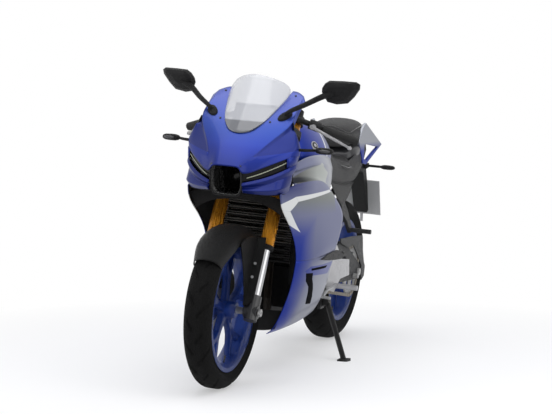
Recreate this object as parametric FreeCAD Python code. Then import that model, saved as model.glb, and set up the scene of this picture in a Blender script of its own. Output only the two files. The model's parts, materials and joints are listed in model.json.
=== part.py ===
import FreeCAD, Part
import math
import os

# Axes of the upright machine: x to the rider's left, y rearward, z up from the ground, in millimetres

# Chassis geometry
WHEELBASE = 1380.0
LEAN = 4.86
RAKE = 25.0
HEAD_Y = -388.6
HEAD_Z = 850.0
FORK_OFFSET = 37.7
STANCHION_SHOWN = 254.0
FORK_SPREAD = 107.0
PANEL = 4.0
SEAT_GAP = 0.3

# Wheels and tyres
FRONT_RADIUS = 293.0
REAR_RADIUS = 314.0
FRONT_TYRE_WIDTH = 110.0
REAR_TYRE_WIDTH = 140.0
FRONT_RIM_WIDTH = 76.2
REAR_RIM_WIDTH = 101.6
FRONT_SECTION = 77.1
REAR_SECTION = 98.1
FLANGE_HEIGHT = 13.0
FLANGE_THICKNESS = 3.5
CROWN_FLAT = 14.0
SPOKES = 5
HUB_RADIUS = 30.0
FRONT_HUB_WIDTH = 96.0
REAR_HUB_WIDTH = 130.0
AXLE_RADIUS = 8.5
AXLE_BORE = 4.0
RUNNING_FIT = 0.05

# Brakes
FRONT_DISC_RADIUS = 149.0
REAR_DISC_RADIUS = 110.0
DISC_THICKNESS = 4.5
DISC_BAND = 34.0
FRONT_DISC_X = -68.0
REAR_DISC_X = -82.0
PAD_GAP = 1.5

# Chain drive
CHAIN_PITCH = 15.875
CHAIN_X = 84.0
REAR_TEETH = 44
FRONT_TEETH = 14
SPROCKET_THICKNESS = 5.8
PLATE_THICKNESS = 1.8
PLATE_HEIGHT = 14.0
PLATE_GAP = 0.5
SPROCKET_Y = 20.0
SPROCKET_Z = 338.0
CHAIN_HIDDEN = 80.0

# Fork, bars and steering head
STANCHION_RADIUS = 18.5
FENDER_START = -50.0
FENDER_SWEEP = 108.0
OUTER_RADIUS = 26.0
HEAD_TUBE_RADIUS = 30.0
STEM_RADIUS = 14.0
STEM_BORE = 8.0
HEAD_TUBE_LENGTH = 130.0
CLAMP_THICKNESS = 24.0
BAR_RADIUS = 11.0
GRIP_RADIUS = 16.5

# Swingarm, frame tubes and footrests
PIVOT_Y = 120.0
PIVOT_Z = 335.0
SPOOL_RADIUS = 11.0
SPOOL_HOLE = 4.0
SPOOL_LENGTH = 22.0
TUBE_RADIUS = 16.0
ARM_X = 97.0
ARM_WIDTH = 24.0
PLATE = 13.0
TANK_FLOOR = 806.0
SUBFRAME_RADIUS = 12.0
RAIL_SLOPE = 0.195
STAND_RADIUS = 11.0
STAND_PIVOT_Y = 118.0
STAND_PIVOT_Z = 236.0
STAND_LUG = 16.0
STAND_TILT = 21.4
STAND_FOOT_X = 262.0
STAND_FOOT_Y = 60.0

# Bodywork, filler cap and bars
COWL_CENTRE_Y = -480.0
BROW = [(0, -802, 819), (57, -797, 817), (63, -793, 790), (110, -757, 812), (160, -707, 840),
        (208, -653, 868), (214, -612, 866)]
SCREEN_FOOT = (0, -681, 938)
SCREEN_CORNER = (118, -450, 1100)
SCREEN_LIFT = 9.5
SCREEN_SHEET = 3.0
CAP_Y = -128.0
CAP_RADIUS = 34.0
CAP_SEAT_Z = 990.0
CAP_THICKNESS = 7.0
BAR_START = (128, -404, 996)
BAR_END = (345, -310, 928)

# Where the frame is bolted together, and how far the plate stands behind the rear axle
PLATES_FRONT_Y = 86.0
SUBFRAME_FRONT_Y = 154.0
SUBFRAME_LOW_Z = 450.0
PLATE_BEHIND_AXLE = 368.0
SIGNAL_BEHIND_AXLE = 286.0

# Derived places
FRONT_BEAD = FRONT_RADIUS - FRONT_SECTION
REAR_BEAD = REAR_RADIUS - REAR_SECTION
CAP_HINGE_Y = CAP_Y - CAP_RADIUS - 6.0
CAP_HINGE_Z = CAP_SEAT_Z + SEAT_GAP + CAP_THICKNESS / 2
REAR_Z = REAR_RADIUS
PLATE_X = ARM_X + ARM_WIDTH + 1.0
SIN_RAKE = math.sin(math.radians(RAKE))
COS_RAKE = math.cos(math.radians(RAKE))
AXLE_T = (FRONT_RADIUS - HEAD_Z - FORK_OFFSET * SIN_RAKE) / COS_RAKE
FRONT_Y = HEAD_Y + AXLE_T * SIN_RAKE - FORK_OFFSET * COS_RAKE
REAR_Y = FRONT_Y + WHEELBASE
OUTER_END = AXLE_T + STANCHION_SHOWN
PLATE_Y = REAR_Y + PLATE_BEHIND_AXLE
SIGNAL_Y = REAR_Y + SIGNAL_BEHIND_AXLE
UP_AXIS = FreeCAD.Vector(0, 0, 1)
ACROSS = FreeCAD.Vector(1, 0, 0)
STEER_UP = FreeCAD.Vector(0, SIN_RAKE, COS_RAKE)
STEER_FORWARD = FreeCAD.Vector(0, -COS_RAKE, SIN_RAKE)
ORIGIN = FreeCAD.Vector(0, 0, 0)
STAND_AXIS = FreeCAD.Vector(math.cos(math.radians(STAND_TILT)), 0, math.sin(math.radians(STAND_TILT)))
STAND_PIVOT = FreeCAD.Vector(PLATE_X + PLATE / 2, STAND_PIVOT_Y, STAND_PIVOT_Z)
ROUND_STEPS = 48


# Helpers
def vec(x, y, z):
    return FreeCAD.Vector(x, y, z)


def steer(x, forward, up):
    """A point by its distance across, ahead of and along the steering axis, from the head tube's middle."""
    return vec(x, HEAD_Y, HEAD_Z) + STEER_FORWARD * forward + STEER_UP * up


def mirrored(shape):
    return shape.mirror(ORIGIN, ACROSS)


def both(shape):
    return Part.makeCompound([shape, mirrored(shape)])


def fused(shapes):
    result = shapes[0]
    for shape in shapes[1:]:
        result = result.fuse(shape)
    return result.removeSplitter()


def wire(points):
    corners = [vec(*point) for point in points]
    return Part.makePolygon(corners + [corners[0]])


def flat_faces(corners):
    """One face where the corners lie in a plane, or else a fan of triangles."""
    kept = [c for k, c in enumerate(corners) if (c - corners[k - 1]).Length > 1e-6]
    if len(kept) < 3:
        return []
    normal = (kept[1] - kept[0]).cross(kept[2] - kept[0])
    if normal.Length > 1e-9 and all(abs((c - kept[0]).dot(normal.normalize())) < 1e-4 for c in kept[3:]):
        return [Part.Face(Part.makePolygon(kept + [kept[0]]))]
    fan = []
    for one, two in zip(kept[1:-1], kept[2:]):
        fan.append(Part.Face(Part.makePolygon([kept[0], one, two, kept[0]])))
    return fan


def closed_solid(faces):
    shell = Part.makeShell(faces)
    shell.sewShape()
    solid = Part.Solid(shell)
    if solid.Volume < 0:
        solid.reverse()
    return solid.removeSplitter()


def between(sections, ring=False):
    """Flat faces between neighbouring sections of as many corners each."""
    rows = [[vec(*point) for point in section] for section in sections]
    following = rows[1:] + rows[:1] if ring else rows[1:]
    faces = []
    for one, two in zip(rows, following):
        for k in range(len(one)):
            faces += flat_faces([one[k - 1], one[k], two[k], two[k - 1]])
    return faces


def loft(sections):
    """A solid through flat sections, with a flat cap at each end."""
    faces = between(sections)
    for section in (sections[0], sections[-1]):
        faces += flat_faces([vec(*point) for point in section])
    return closed_solid(faces)


MADE = {}


def made(name):
    """A part's upright shape, built once."""
    if name not in MADE:
        MADE[name] = BUILDERS[name]()
    return MADE[name]


def seated(shape, carrier, away):
    """A shape cut back from what carries it, with the seat gap left along one direction."""
    near = carrier.copy()
    near.translate(away * SEAT_GAP)
    kept = shape.cut(carrier).cut(near)
    return max(kept.Solids, key=lambda solid: solid.Volume)


def rod(start, end, radius):
    return Part.makeCylinder(radius, (end - start).Length, start, end - start)


def taper(start, end, radius, end_radius, sides=16):
    """A tapered bar with flat sides between two rings."""
    along = (end - start).normalize()
    side = along.cross(UP_AXIS if abs(along.z) < 0.9 else ACROSS).normalize()
    other = along.cross(side)
    sections = []
    for centre, size in ((start, radius), (end, end_radius)):
        ring = []
        for k in range(sides):
            turn = 2 * math.pi * (k + 0.5) / sides
            point = centre + (side * math.cos(turn) + other * math.sin(turn)) * size
            ring.append((point.x, point.y, point.z))
        sections.append(ring)
    return loft(sections)


def bar(start, end, radius, sides=10):
    return taper(start, end, radius, radius, sides)


def prism(points, x_low, x_high):
    """An outline in (y, z) with its thickness across the machine."""
    face = Part.Face(wire([(x_low, y, z) for y, z in points]))
    return face.extrude(vec(x_high - x_low, 0, 0))


def block(x_range, y_range, z_range):
    low = vec(x_range[0], y_range[0], z_range[0])
    return Part.makeBox(x_range[1] - x_range[0], y_range[1] - y_range[0], z_range[1] - z_range[0], low)


def turned(profile, y, z, start=0.0, sweep=360.0, steps=ROUND_STEPS):
    """A profile of (x, radius) turned about a cross axis through (y, z), in even steps; 0 degrees is up."""
    full = sweep >= 360.0
    count = max(1, round(steps * sweep / 360.0))
    sections = []
    for k in range(count if full else count + 1):
        turn = math.radians(start + sweep * k / count)
        sections.append([(x, y + r * math.sin(turn), z + r * math.cos(turn)) for x, r in profile])
    if full:
        return closed_solid(between(sections, ring=True))
    return loft(sections)


def pipe(points, radius, sides=8):
    """A tube along straight runs, mitred at each point."""
    corners = [vec(*point) for point in points]
    runs = [(b - a).normalize() for a, b in zip(corners[:-1], corners[1:])]
    side = runs[0].cross(ACROSS)
    if side.Length < 0.2:
        side = runs[0].cross(UP_AXIS)
    side.normalize()
    sections = []
    for k, corner in enumerate(corners):
        run = runs[min(k, len(runs) - 1)]
        side = (side - run * side.dot(run)).normalize()
        other = run.cross(side)
        plane = run if k in (0, len(corners) - 1) else (runs[k - 1] + runs[k]).normalize()
        ring = []
        for j in range(sides):
            turn = 2 * math.pi * (j + 0.5) / sides
            spoke = (side * math.cos(turn) + other * math.sin(turn)) * radius
            slide = -spoke.dot(plane) / run.dot(plane)
            point = corner + spoke + run * slide
            ring.append((point.x, point.y, point.z))
        sections.append(ring)
    return loft(sections)


def skin(rows, thickness, inwards=None, centre_y=None):
    """A panel of even thickness: each row runs along its outside, from front to rear."""
    outside = [[vec(*point) for point in row] for row in rows]
    inside = []
    for k, row in enumerate(rows):
        shifted = []
        for x, y, z in row:
            if centre_y is None:
                across, rise = inwards[k]
                shifted.append(vec(x + across * thickness, y, z + rise * thickness))
            else:
                share = 1 - thickness / math.hypot(x, y - centre_y)
                shifted.append(vec(x * share, centre_y + (y - centre_y) * share, z))
        inside.append(shifted)
    faces = []
    last = len(rows[0]) - 1
    for k in range(len(rows) - 1):
        for j in range(last):
            for sheet in (outside, inside):
                faces += flat_faces([sheet[k][j], sheet[k][j + 1], sheet[k + 1][j + 1], sheet[k + 1][j]])
        for j in (0, last):
            faces += flat_faces([outside[k][j], outside[k + 1][j], inside[k + 1][j], inside[k][j]])
    for k in (0, len(rows) - 1):
        for j in range(last):
            faces += flat_faces([outside[k][j], outside[k][j + 1], inside[k][j + 1], inside[k][j]])
    return closed_solid(faces)


# Wheels
def tyre(y, z, bead, width, rim_width):
    """A round crown and sidewalls down to the bead; its axle is as high as the tyre's radius."""
    radius = z
    curve = 0.55 * width
    seat = rim_width / 2 - SEAT_GAP / 2
    half = [(CROWN_FLAT, radius)]
    for angle in (38.0, 62.0):
        turn = math.radians(angle)
        half.append((curve * math.sin(turn), radius - curve * (1 - math.cos(turn))))
    half.append((seat, bead + FLANGE_HEIGHT + 1))
    half.append((seat, bead + SEAT_GAP / 2))
    profile = half + [(-x, r) for x, r in reversed(half)]
    return turned(profile, y, z)


def y_spoke(y, z, angle, rim_radius):
    """One arm: a stem from the hub that forks into two branches at the rim."""
    stem_width = 19.0
    branch_width = 12.0
    fork_radius = 0.56 * rim_radius
    spread = 30.0
    hub = 0.6 * HUB_RADIUS
    rim_half = math.radians(spread) / 2
    tip = rim_radius + 3
    tip_y = tip * math.sin(rim_half)
    tip_z = tip * math.cos(rim_half)
    outline = [
        (-stem_width, hub),
        (-stem_width * 0.72, fork_radius),
        (-tip_y - branch_width, tip_z),
        (-tip_y + branch_width, tip_z),
        (0, fork_radius + 1.6 * stem_width),
        (tip_y - branch_width, tip_z),
        (tip_y + branch_width, tip_z),
        (stem_width * 0.72, fork_radius),
        (stem_width, hub),
    ]
    arm = prism([(y + a, z + b) for a, b in outline], -13, 13)
    arm.rotate(vec(0, y, z), ACROSS, angle)
    return arm


def rim(y, z, bead, width, hub_width, carrier_sides):
    half = width / 2
    flange = bead + FLANGE_HEIGHT
    well = bead - 17
    inner = [(half + FLANGE_THICKNESS, bead - 3), (0.35 * half, well)]
    profile = [(half, bead), (half, flange), (half + FLANGE_THICKNESS, flange)] + inner
    profile = profile + [(-x, r) for x, r in reversed(profile)]
    barrel = turned(profile, y, z)
    hub = bar(vec(-hub_width / 2, y, z), vec(hub_width / 2, y, z), HUB_RADIUS, 24)
    carriers = []
    for side in carrier_sides:
        face = side * hub_width / 2
        carriers.append(bar(vec(face - side * 10, y, z), vec(face, y, z), 1.7 * HUB_RADIUS, 24))
    arms = [y_spoke(y, z, 360.0 / SPOKES * k, well + 2) for k in range(SPOKES)]
    body = fused([barrel, hub] + carriers + arms)
    bore = rod(vec(-hub_width, y, z), vec(hub_width, y, z), AXLE_RADIUS + RUNNING_FIT)
    return body.cut(bore)


def disc(y, z, x, radius, hub_face):
    """A brake disc whose dished centre reaches the hub's flange."""
    low = x - DISC_THICKNESS / 2
    high = x + DISC_THICKNESS / 2
    inner = radius - DISC_BAND
    hub = 1.25 * HUB_RADIUS
    side = 1 if hub_face > x else -1
    face = hub_face - side * SEAT_GAP
    near = high if side > 0 else low
    far = low if side > 0 else high
    foot = 1.6 * HUB_RADIUS
    profile = [(far, radius), (near, radius), (near, inner), (face, foot), (face, hub), (far, inner - 12)]
    return turned(profile, y, z)


def axle(y, z, left, right, head_radius):
    shaft = rod(vec(-right, y, z), vec(left, y, z), AXLE_RADIUS)
    head = bar(vec(left, y, z), vec(left + 9, y, z), head_radius, 12)
    nut = bar(vec(-right - 11, y, z), vec(-right, y, z), head_radius, 6)
    body = fused([shaft, head, nut])
    return body.cut(rod(vec(-right - 20, y, z), vec(left + 20, y, z), AXLE_BORE))


# Chain drive
def sprocket(teeth, y, z, x, thickness):
    pitch_radius = CHAIN_PITCH / (2 * math.sin(math.pi / teeth))
    root = pitch_radius - 5.0
    tip = pitch_radius + 4.0
    step = 360.0 / teeth
    outline = []
    for k in range(teeth):
        for share, radius in ((-0.28, root), (-0.10, tip), (0.10, tip), (0.28, root)):
            turn = math.radians(step * (k + share))
            outline.append((y + radius * math.sin(turn), z + radius * math.cos(turn)))
    plate = prism(outline, x - thickness / 2, x + thickness / 2)
    hole = bar(vec(x - 20, y, z), vec(x + 20, y, z), 1.25 * HUB_RADIUS, 24)
    windows = []
    for k in range(SPOKES):
        turn = math.radians(360.0 / SPOKES * k)
        centre = vec(x - 20, y + 0.66 * root * math.sin(turn), z + 0.66 * root * math.cos(turn))
        windows.append(bar(centre, centre + ACROSS * 40, 0.17 * root, 12))
    return plate.cut(Part.makeCompound([hole] + windows))


def chain_line():
    """Centre points of the pins round the rear sprocket, from the lower run's end to the upper's."""
    rear = CHAIN_PITCH / (2 * math.sin(math.pi / REAR_TEETH))
    front = CHAIN_PITCH / (2 * math.sin(math.pi / FRONT_TEETH))
    span = math.hypot(REAR_Y - SPROCKET_Y, REAR_Z - SPROCKET_Z)
    tilt = math.atan2(REAR_Z - SPROCKET_Z, REAR_Y - SPROCKET_Y)
    wrap = math.asin((rear - front) / span)
    run = math.sqrt(span * span - (rear - front) ** 2) - CHAIN_HIDDEN
    wrapped = round((math.pi + 2 * wrap) / (2 * math.pi / REAR_TEETH))
    links = int(run / CHAIN_PITCH)
    points = []
    start = math.pi / 2 + wrap + tilt
    for k in range(wrapped + 1):
        turn = start - (2 * math.pi / REAR_TEETH) * k
        points.append((REAR_Y + rear * math.cos(turn), REAR_Z + rear * math.sin(turn)))
    first = points[0]
    last = points[-1]
    up_run = (-math.cos(tilt + wrap), -math.sin(tilt + wrap))
    low_run = (-math.cos(tilt - wrap), -math.sin(tilt - wrap))
    upper = [(first[0] + up_run[0] * CHAIN_PITCH * k, first[1] + up_run[1] * CHAIN_PITCH * k)
             for k in range(links, 0, -1)]
    lower = [(last[0] + low_run[0] * CHAIN_PITCH * k, last[1] + low_run[1] * CHAIN_PITCH * k)
             for k in range(1, links + 1)]
    return upper + points + lower, links


def link_block(a, b, x_low, x_high, height):
    along = vec(0, b[0] - a[0], b[1] - a[1]).normalize()
    normal = ACROSS.cross(along)
    reach = 0.42 * height
    start = vec(x_low, a[0], a[1]) - along * reach
    end = vec(x_low, b[0], b[1]) + along * reach
    corners = [start - normal * height / 2, end - normal * height / 2,
               end + normal * height / 2, start + normal * height / 2]
    face = Part.Face(Part.makePolygon(corners + [corners[0]]))
    return face.extrude(vec(x_high - x_low, 0, 0))


def chain():
    points, straight = chain_line()
    inner_low = SPROCKET_THICKNESS / 2 + PLATE_GAP
    inner_high = inner_low + PLATE_THICKNESS
    outer_low = inner_high + 0.2
    outer_high = outer_low + PLATE_THICKNESS
    solids = []
    for k, (a, b) in enumerate(zip(points[:-1], points[1:])):
        meshed = straight - 5 < k < len(points) - straight + 4
        if k % 2:
            solids.append(link_block(a, b, CHAIN_X + outer_low, CHAIN_X + outer_high, PLATE_HEIGHT))
            solids.append(link_block(a, b, CHAIN_X - outer_high, CHAIN_X - outer_low, PLATE_HEIGHT))
        elif meshed:
            solids.append(link_block(a, b, CHAIN_X + inner_low, CHAIN_X + inner_high, PLATE_HEIGHT))
            solids.append(link_block(a, b, CHAIN_X - inner_high, CHAIN_X - inner_low, PLATE_HEIGHT))
        else:
            solids.append(link_block(a, b, CHAIN_X - inner_high, CHAIN_X + inner_high, PLATE_HEIGHT))
    return Part.makeCompound(solids)


# Frame and engine
def rail_z(y):
    """Height of the seat rail's middle."""
    return 722 + (y - 330) * RAIL_SLOPE


def rail_top(y):
    """Height of what lies on the seat rail's flat top."""
    return rail_z(y) + SUBFRAME_RADIUS * math.cos(math.pi / 8) * math.hypot(1, RAIL_SLOPE) + SEAT_GAP


def whole_frame():
    """Tubes from the head tube to the pivot plates, and the subframe under the seats, still in one."""
    if "whole_frame" in MADE:
        return MADE["whole_frame"]
    head = rod(steer(0, 0, -HEAD_TUBE_LENGTH / 2), steer(0, 0, HEAD_TUBE_LENGTH / 2), HEAD_TUBE_RADIUS)
    rear_seat_y = 760.0
    plate_x = PLATE_X + PLATE / 2
    upper = [(18, HEAD_Y + 20, HEAD_Z + 16), (94, -268, 774), (118, -90, 716), (plate_x, 60, 628),
             (plate_x, 116, 520)]
    lower = [(18, HEAD_Y + 4, HEAD_Z - 12), (100, -300, 708), (124, -150, 590), (plate_x, 60, 545)]
    rail = [(plate_x, 60, 620), (104, 250, rail_z(330) - 26), (98, 330, rail_z(330)),
            (66, rear_seat_y, rail_z(rear_seat_y))]
    strut = [(plate_x, 110, 500), (106, 240, 590), (84, 560, rail_z(560) - 8)]
    tubes = []
    for points in (upper, lower):
        tubes.append(pipe(points, TUBE_RADIUS))
    for points in (rail, strut):
        tubes.append(pipe(points, SUBFRAME_RADIUS))
    plate = [(90, 214), (92, 540), (128, 620), (152, 560), (142, 400), (168, 300), (146, 214)]
    tubes.append(prism(plate, PLATE_X, PLATE_X + PLATE))
    half = fused(tubes)
    bar_y = rear_seat_y - 72
    seat_bar = [(-72, bar_y, rail_z(bar_y)), (72, bar_y, rail_z(bar_y))]
    tank_bar = [(-113, 180, 668), (113, 180, 668)]
    cross = [
        bar(vec(-plate_x, 112, 560), vec(plate_x, 112, 560), 14, 8),
        rod(vec(-PLATE_X - 2, PIVOT_Y, PIVOT_Z), vec(PLATE_X + 2, PIVOT_Y, PIVOT_Z), AXLE_RADIUS),
        pipe(seat_bar, 10),
        block((-100, 100), (-262, -238), (762, TANK_FLOOR - SEAT_GAP)),
        pipe(tank_bar, 10),
        block((-14, 14), (170, 190), (668, TANK_FLOOR - SEAT_GAP)),
    ]
    lug = rod(STAND_PIVOT, STAND_PIVOT + STAND_AXIS * STAND_LUG, 15)
    shape = fused([head, half, mirrored(half), lug] + cross)
    stem_hole = rod(steer(0, 0, -HEAD_TUBE_LENGTH), steer(0, 0, HEAD_TUBE_LENGTH), STEM_RADIUS + RUNNING_FIT)
    MADE["whole_frame"] = shape.cut(stem_hole)
    return MADE["whole_frame"]


def ahead_of_plates():
    return block((-300, 300), (-900, PLATES_FRONT_Y), (0, 1400))


def behind_plates():
    return block((-300, 300), (SUBFRAME_FRONT_Y, 1400), (SUBFRAME_LOW_Z, 1400))


def frame():
    """The front part: head tube and the tubes down to the pivot plates."""
    return whole_frame().common(ahead_of_plates())


def subframe():
    """The rear part, bolted on behind the plates, which carries seats and tail."""
    return whole_frame().common(behind_plates())


def pivot_plates():
    """The plates that hold the swingarm's pivot and the side stand, with their cross rods."""
    return whole_frame().cut(ahead_of_plates()).cut(behind_plates())


def engine():
    """Crankcase, forward-leaning cylinder and head, sump and the round side covers."""
    case_outline = [(-230, 252), (-190, 224), (60, 224), (84, 260), (84, 430), (-20, 462), (-230, 410)]
    case = prism(case_outline, -98, 98)
    cylinder_outline = [(-215, 400), (-60, 455), (-125, 640), (-150, 668), (-290, 618), (-282, 588)]
    cylinder = prism(cylinder_outline, -92, 92)
    left_cover = bar(vec(97, -110, 330), vec(138, -110, 330), 74, 24)
    right_cover = bar(vec(-134, -120, 335), vec(-97, -120, 335), 84, 24)
    small_cover = bar(vec(-128, -5, 352), vec(-97, -5, 352), 52, 18)
    chain_cover = prism([(-52, 286), (58, 286), (78, 330), (72, 380), (20, 398), (-52, 380)], 97, 124)
    rear_lug = prism([(20, 440), (84, 424), (114, 470), (114, 494), (94, 500)], -88, 88)
    rear_tie = bar(vec(80, 102, 482), vec(PLATE_X + 3, 102, 482), 11)
    front_tie = bar(vec(84, -215, 634), vec(116, -215, 641), 9)
    ties = [rear_tie, front_tie]
    ties = [seated(tie, whole_frame(), vec(-1, 0, 0)) for tie in ties]
    ties = ties + [mirrored(tie) for tie in ties]
    return fused([case, cylinder, left_cover, right_cover, small_cover, chain_cover, rear_lug] + ties)


def radiator():
    """Core between side tanks, with fins across its front face."""
    half_width = 146.0
    front_low = -414.0
    front_high = -384.0
    depth = 34.0
    low = 448.0
    high = 690.0
    back_high = front_high + depth
    back_low = front_low + depth
    outline = [(front_low, low), (front_high, high), (back_high, high), (back_low, low)]
    core = prism(outline, -half_width, half_width)
    fins = []
    count = 10
    for k in range(count):
        height = low + (high - low) * (k + 0.5) / count
        front = front_low + (front_high - front_low) * (k + 0.5) / count
        reach = half_width - 24
        fins.append(block((-reach, reach), (front - 2, front + 8), (height - 5, height + 5)))
    slots = Part.makeCompound(fins)
    arms = [bar(vec(x, front_high + 20, high - 20), vec(x, -252, high - 20), 7) for x in (-108, 108)]
    arms = [seated(arm, whole_frame(), vec(0, -1, 0)) for arm in arms]
    return fused([core.cut(slots)] + arms)


# Front bodywork
def front_cowl():
    """The nose shell: brow, cheeks, shoulders beside the screen, and the lip under the lamps."""
    rows = [
        BROW,
        [(0, -776, 848), (50, -770, 850), (90, -752, 852), (135, -722, 866), (178, -678, 884),
         (218, -640, 893), (216, -612, 893)],
        [(0, -730, 893), (50, -722, 895), (92, -704, 903), (128, -680, 914), (165, -650, 927),
         (196, -630, 938), (200, -617, 936)],
        [SCREEN_FOOT, (48, -670, 946), (80, -653, 955), (112, -637, 962), (142, -627, 966),
         (172, -620, 966), (190, -620, 960)],
        [(92, -600, 1004), (106, -597, 1004), (122, -592, 1004), (140, -587, 1004), (156, -584, 1002),
         (170, -584, 998), (182, -587, 994)],
        [SCREEN_CORNER, (126, -449, 1100), (136, -449, 1099), (147, -452, 1096), (160, -462, 1088),
         (172, -476, 1078), (183, -492, 1064)],
    ]
    upper = skin(rows, PANEL, centre_y=COWL_CENTRE_Y)
    lip_rows = [
        [(63, -783, 762), (110, -752, 776), (160, -706, 798), (206, -652, 832), (210, -618, 838)],
        [(62, -774, 736), (110, -752, 741), (150, -724, 746), (190, -684, 750), (196, -630, 742)],
    ]
    lip = skin(lip_rows, PANEL, centre_y=COWL_CENTRE_Y)
    ear_rows = [
        [(190, -674, 857), BROW[5], BROW[6]],
        [(190, -671, 822), (206, -652, 832), (210, -618, 838)],
    ]
    ear = skin(ear_rows, PANEL, centre_y=COWL_CENTRE_Y)
    half = fused([upper, lip, ear])
    return fused([half, mirrored(half)])


def windscreen():
    """A sheet bowed across, from its pointed foot to the top edge above the bars."""
    rows = [
        ((-683, 936), (42, -670, 946)),
        ((-660, 970), (78, -634, 974)),
        ((-620, 1030), (103, -549, 1035)),
        ((-577, 1098), (123, -454, 1095)),
        ((-540, 1152), (82, -491, 1131)),
    ]
    steps = 8
    grid = []
    for (centre_y, centre_z), (side, side_y, side_z) in rows:
        row = []
        for k in range(steps + 1):
            share = 2 * k / steps - 1
            bow = share * share
            y = centre_y - SCREEN_LIFT + (side_y - centre_y) * bow
            row.append((side * share, y, centre_z + (side_z - centre_z) * bow))
        grid.append(row)
    return skin(grid, SCREEN_SHEET, centre_y=COWL_CENTRE_Y)


def headlamps():
    """Slim lamp units set back in the slits under the brow."""
    rows = [
        [(60, -776, 800), (110, -743, 822), (158, -696, 850), (190, -664, 864)],
        [(60, -770, 752), (110, -740, 766), (158, -694, 789), (190, -660, 812)],
    ]
    lens = skin(rows, 16, centre_y=COWL_CENTRE_Y)
    return both(seated(lens, made("front_cowl"), vec(0, 1, 0)))


def intake_duct():
    """A black duct open at the nose, narrowing towards its back wall."""
    def ring(half_top, half_low, y_top, y_low, top, low):
        below = [(-half_low, y_low, low), (half_low, y_low, low)]
        return below + [(half_top, y_top, top), (-half_top, y_top, top)]
    mouth = ring(62, 50, -789, -764, 822, 712)
    back = ring(46, 38, -690, -680, 806, 724)
    outer = loft([mouth, back])
    hollow = loft([ring(52, 41, -795, -770, 812, 716), ring(43, 35, -696, -686, 802, 728)])
    return seated(outer.cut(hollow), made("front_cowl"), vec(0, 1, 0))


def dash():
    """Meter housing behind the screen on its bracket from the head tube."""
    housing = prism([(-560, 960), (-520, 1042), (-496, 1036), (-520, 950)], -78, 78)
    stay_outline = [(-620, 800), (-600, 930), (-530, 985), (-515, 960), (-575, 900), (-590, 800)]
    stay = prism(stay_outline, -34, 34)
    arm = bar(steer(0, HEAD_TUBE_RADIUS + SEAT_GAP, 20), steer(0, 200, 20), 12, 8)
    return fused([housing, stay, arm])


def side_cowl():
    rows = [
        [(183, -688, 729), (202, -560, 764), (210, -400, 770), (208, -262, 768), (204, -165, 738)],
        [(182, -672, 672), (204, -545, 680), (216, -400, 690), (221, -230, 690), (226, -77, 672)],
        [(178, -530, 600), (207, -430, 600), (225, -300, 605), (232, -160, 615), (236, -24, 625)],
        [(180, -450, 515), (210, -380, 520), (229, -290, 530), (238, -180, 545), (240, -68, 558)],
        [(182, -445, 466), (212, -390, 468), (231, -320, 472), (240, -240, 479), (242, -135, 491)],
    ]
    panel = skin(rows, PANEL, inwards=[(-1, 0)] * len(rows))
    stud = seated(bar(vec(229, -185, 617), vec(116, -185, 617), 8), whole_frame(), ACROSS)
    return fused([panel, stud])


def lower_cowl():
    seam = SEAT_GAP
    rows = [
        [(182, -445, 466 - seam), (212, -390, 468 - seam), (231, -320, 472 - seam), (240, -240, 479 - seam),
         (242, -135, 491 - seam)],
        [(168, -425, 370), (198, -370, 370), (214, -280, 372), (218, -180, 375), (214, -92, 380)],
        [(136, -410, 273), (165, -350, 272), (180, -260, 272), (183, -150, 274), (178, -56, 276)],
        [(100, -403, 186), (121, -330, 186), (130, -230, 187), (132, -120, 190), (126, -20, 196)],
        [(38, -396, 154), (38, -330, 154), (38, -230, 154), (38, -120, 155), (38, -66, 156)],
    ]
    inwards = [(-1, 0), (-1, 0), (-1, 0.2), (-0.6, 0.8), (0, 1)]
    panel = skin(rows, PANEL, inwards=inwards)
    stud = seated(bar(vec(185.5, -207, 290), vec(90, -207, 290), 8), made("engine"), ACROSS)
    return fused([panel, stud])


def mirrors():
    """Stalk from the cowl and a shell that houses the glass."""
    seat = vec(140, -587, 1004)
    outward = vec(0.12, -0.7, 0.7).normalize()
    foot = seat + outward * 14
    knee = vec(204, -580, 1050)
    neck = vec(286, -532, 1102)
    base = seated(bar(seat - outward * 3, seat + outward * 20, 16, 12), made("front_cowl"), outward)
    stalk = fused([base, bar(foot, knee, 9, 8), bar(knee, neck, 8, 8)])
    outline = [(250, 1104), (254, 1124), (281, 1149), (376, 1151), (389, 1141), (366, 1096), (341, 1070),
               (296, 1064), (268, 1070)]
    middle = (322, 1110)

    def ring(share, forward):
        """The shell's outline drawn in towards its middle and set ahead of its tilted rim."""
        row = []
        for x, z in outline:
            across = middle[0] + (x - middle[0]) * share
            high = middle[1] + (z - middle[1]) * share
            row.append((across, -527 + 0.22 * (across - 281) + 0.5 * (1149 - high) - forward, high))
        return row
    shell = loft([ring(0.6, 38), ring(0.92, 22), ring(1.0, 0), ring(0.96, -8)])
    return both(fused([stalk, shell]))


def turn_signals():
    lamp = loft([
        [(268, -618, 884), (268, -618, 902), (268, -580, 904), (268, -580, 882)],
        [(300, -612, 880), (300, -612, 906), (300, -566, 908), (300, -566, 878)],
        [(333, -592, 888), (333, -592, 898), (333, -562, 898), (333, -562, 888)],
    ])
    stem = seated(bar(vec(215, -624, 890), vec(276, -598, 893), 6), made("front_cowl"), ACROSS)
    near = fused([stem, lamp])
    middle = SIGNAL_Y
    rear_lamp = loft([
        [(112, middle - 16, 770), (112, middle - 16, 788), (112, middle + 18, 790), (112, middle + 18, 768)],
        [(146, middle - 24, 767), (146, middle - 24, 792), (146, middle + 20, 794), (146, middle + 20, 765)],
        [(181, middle - 28, 773), (181, middle - 28, 786), (181, middle, 786), (181, middle, 773)],
    ])
    rear_stem = bar(vec(34 + SEAT_GAP, middle, 779), vec(118, middle, 779), 6)
    far = fused([rear_stem, rear_lamp])
    return Part.makeCompound([near, mirrored(near), far, mirrored(far)])


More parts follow.
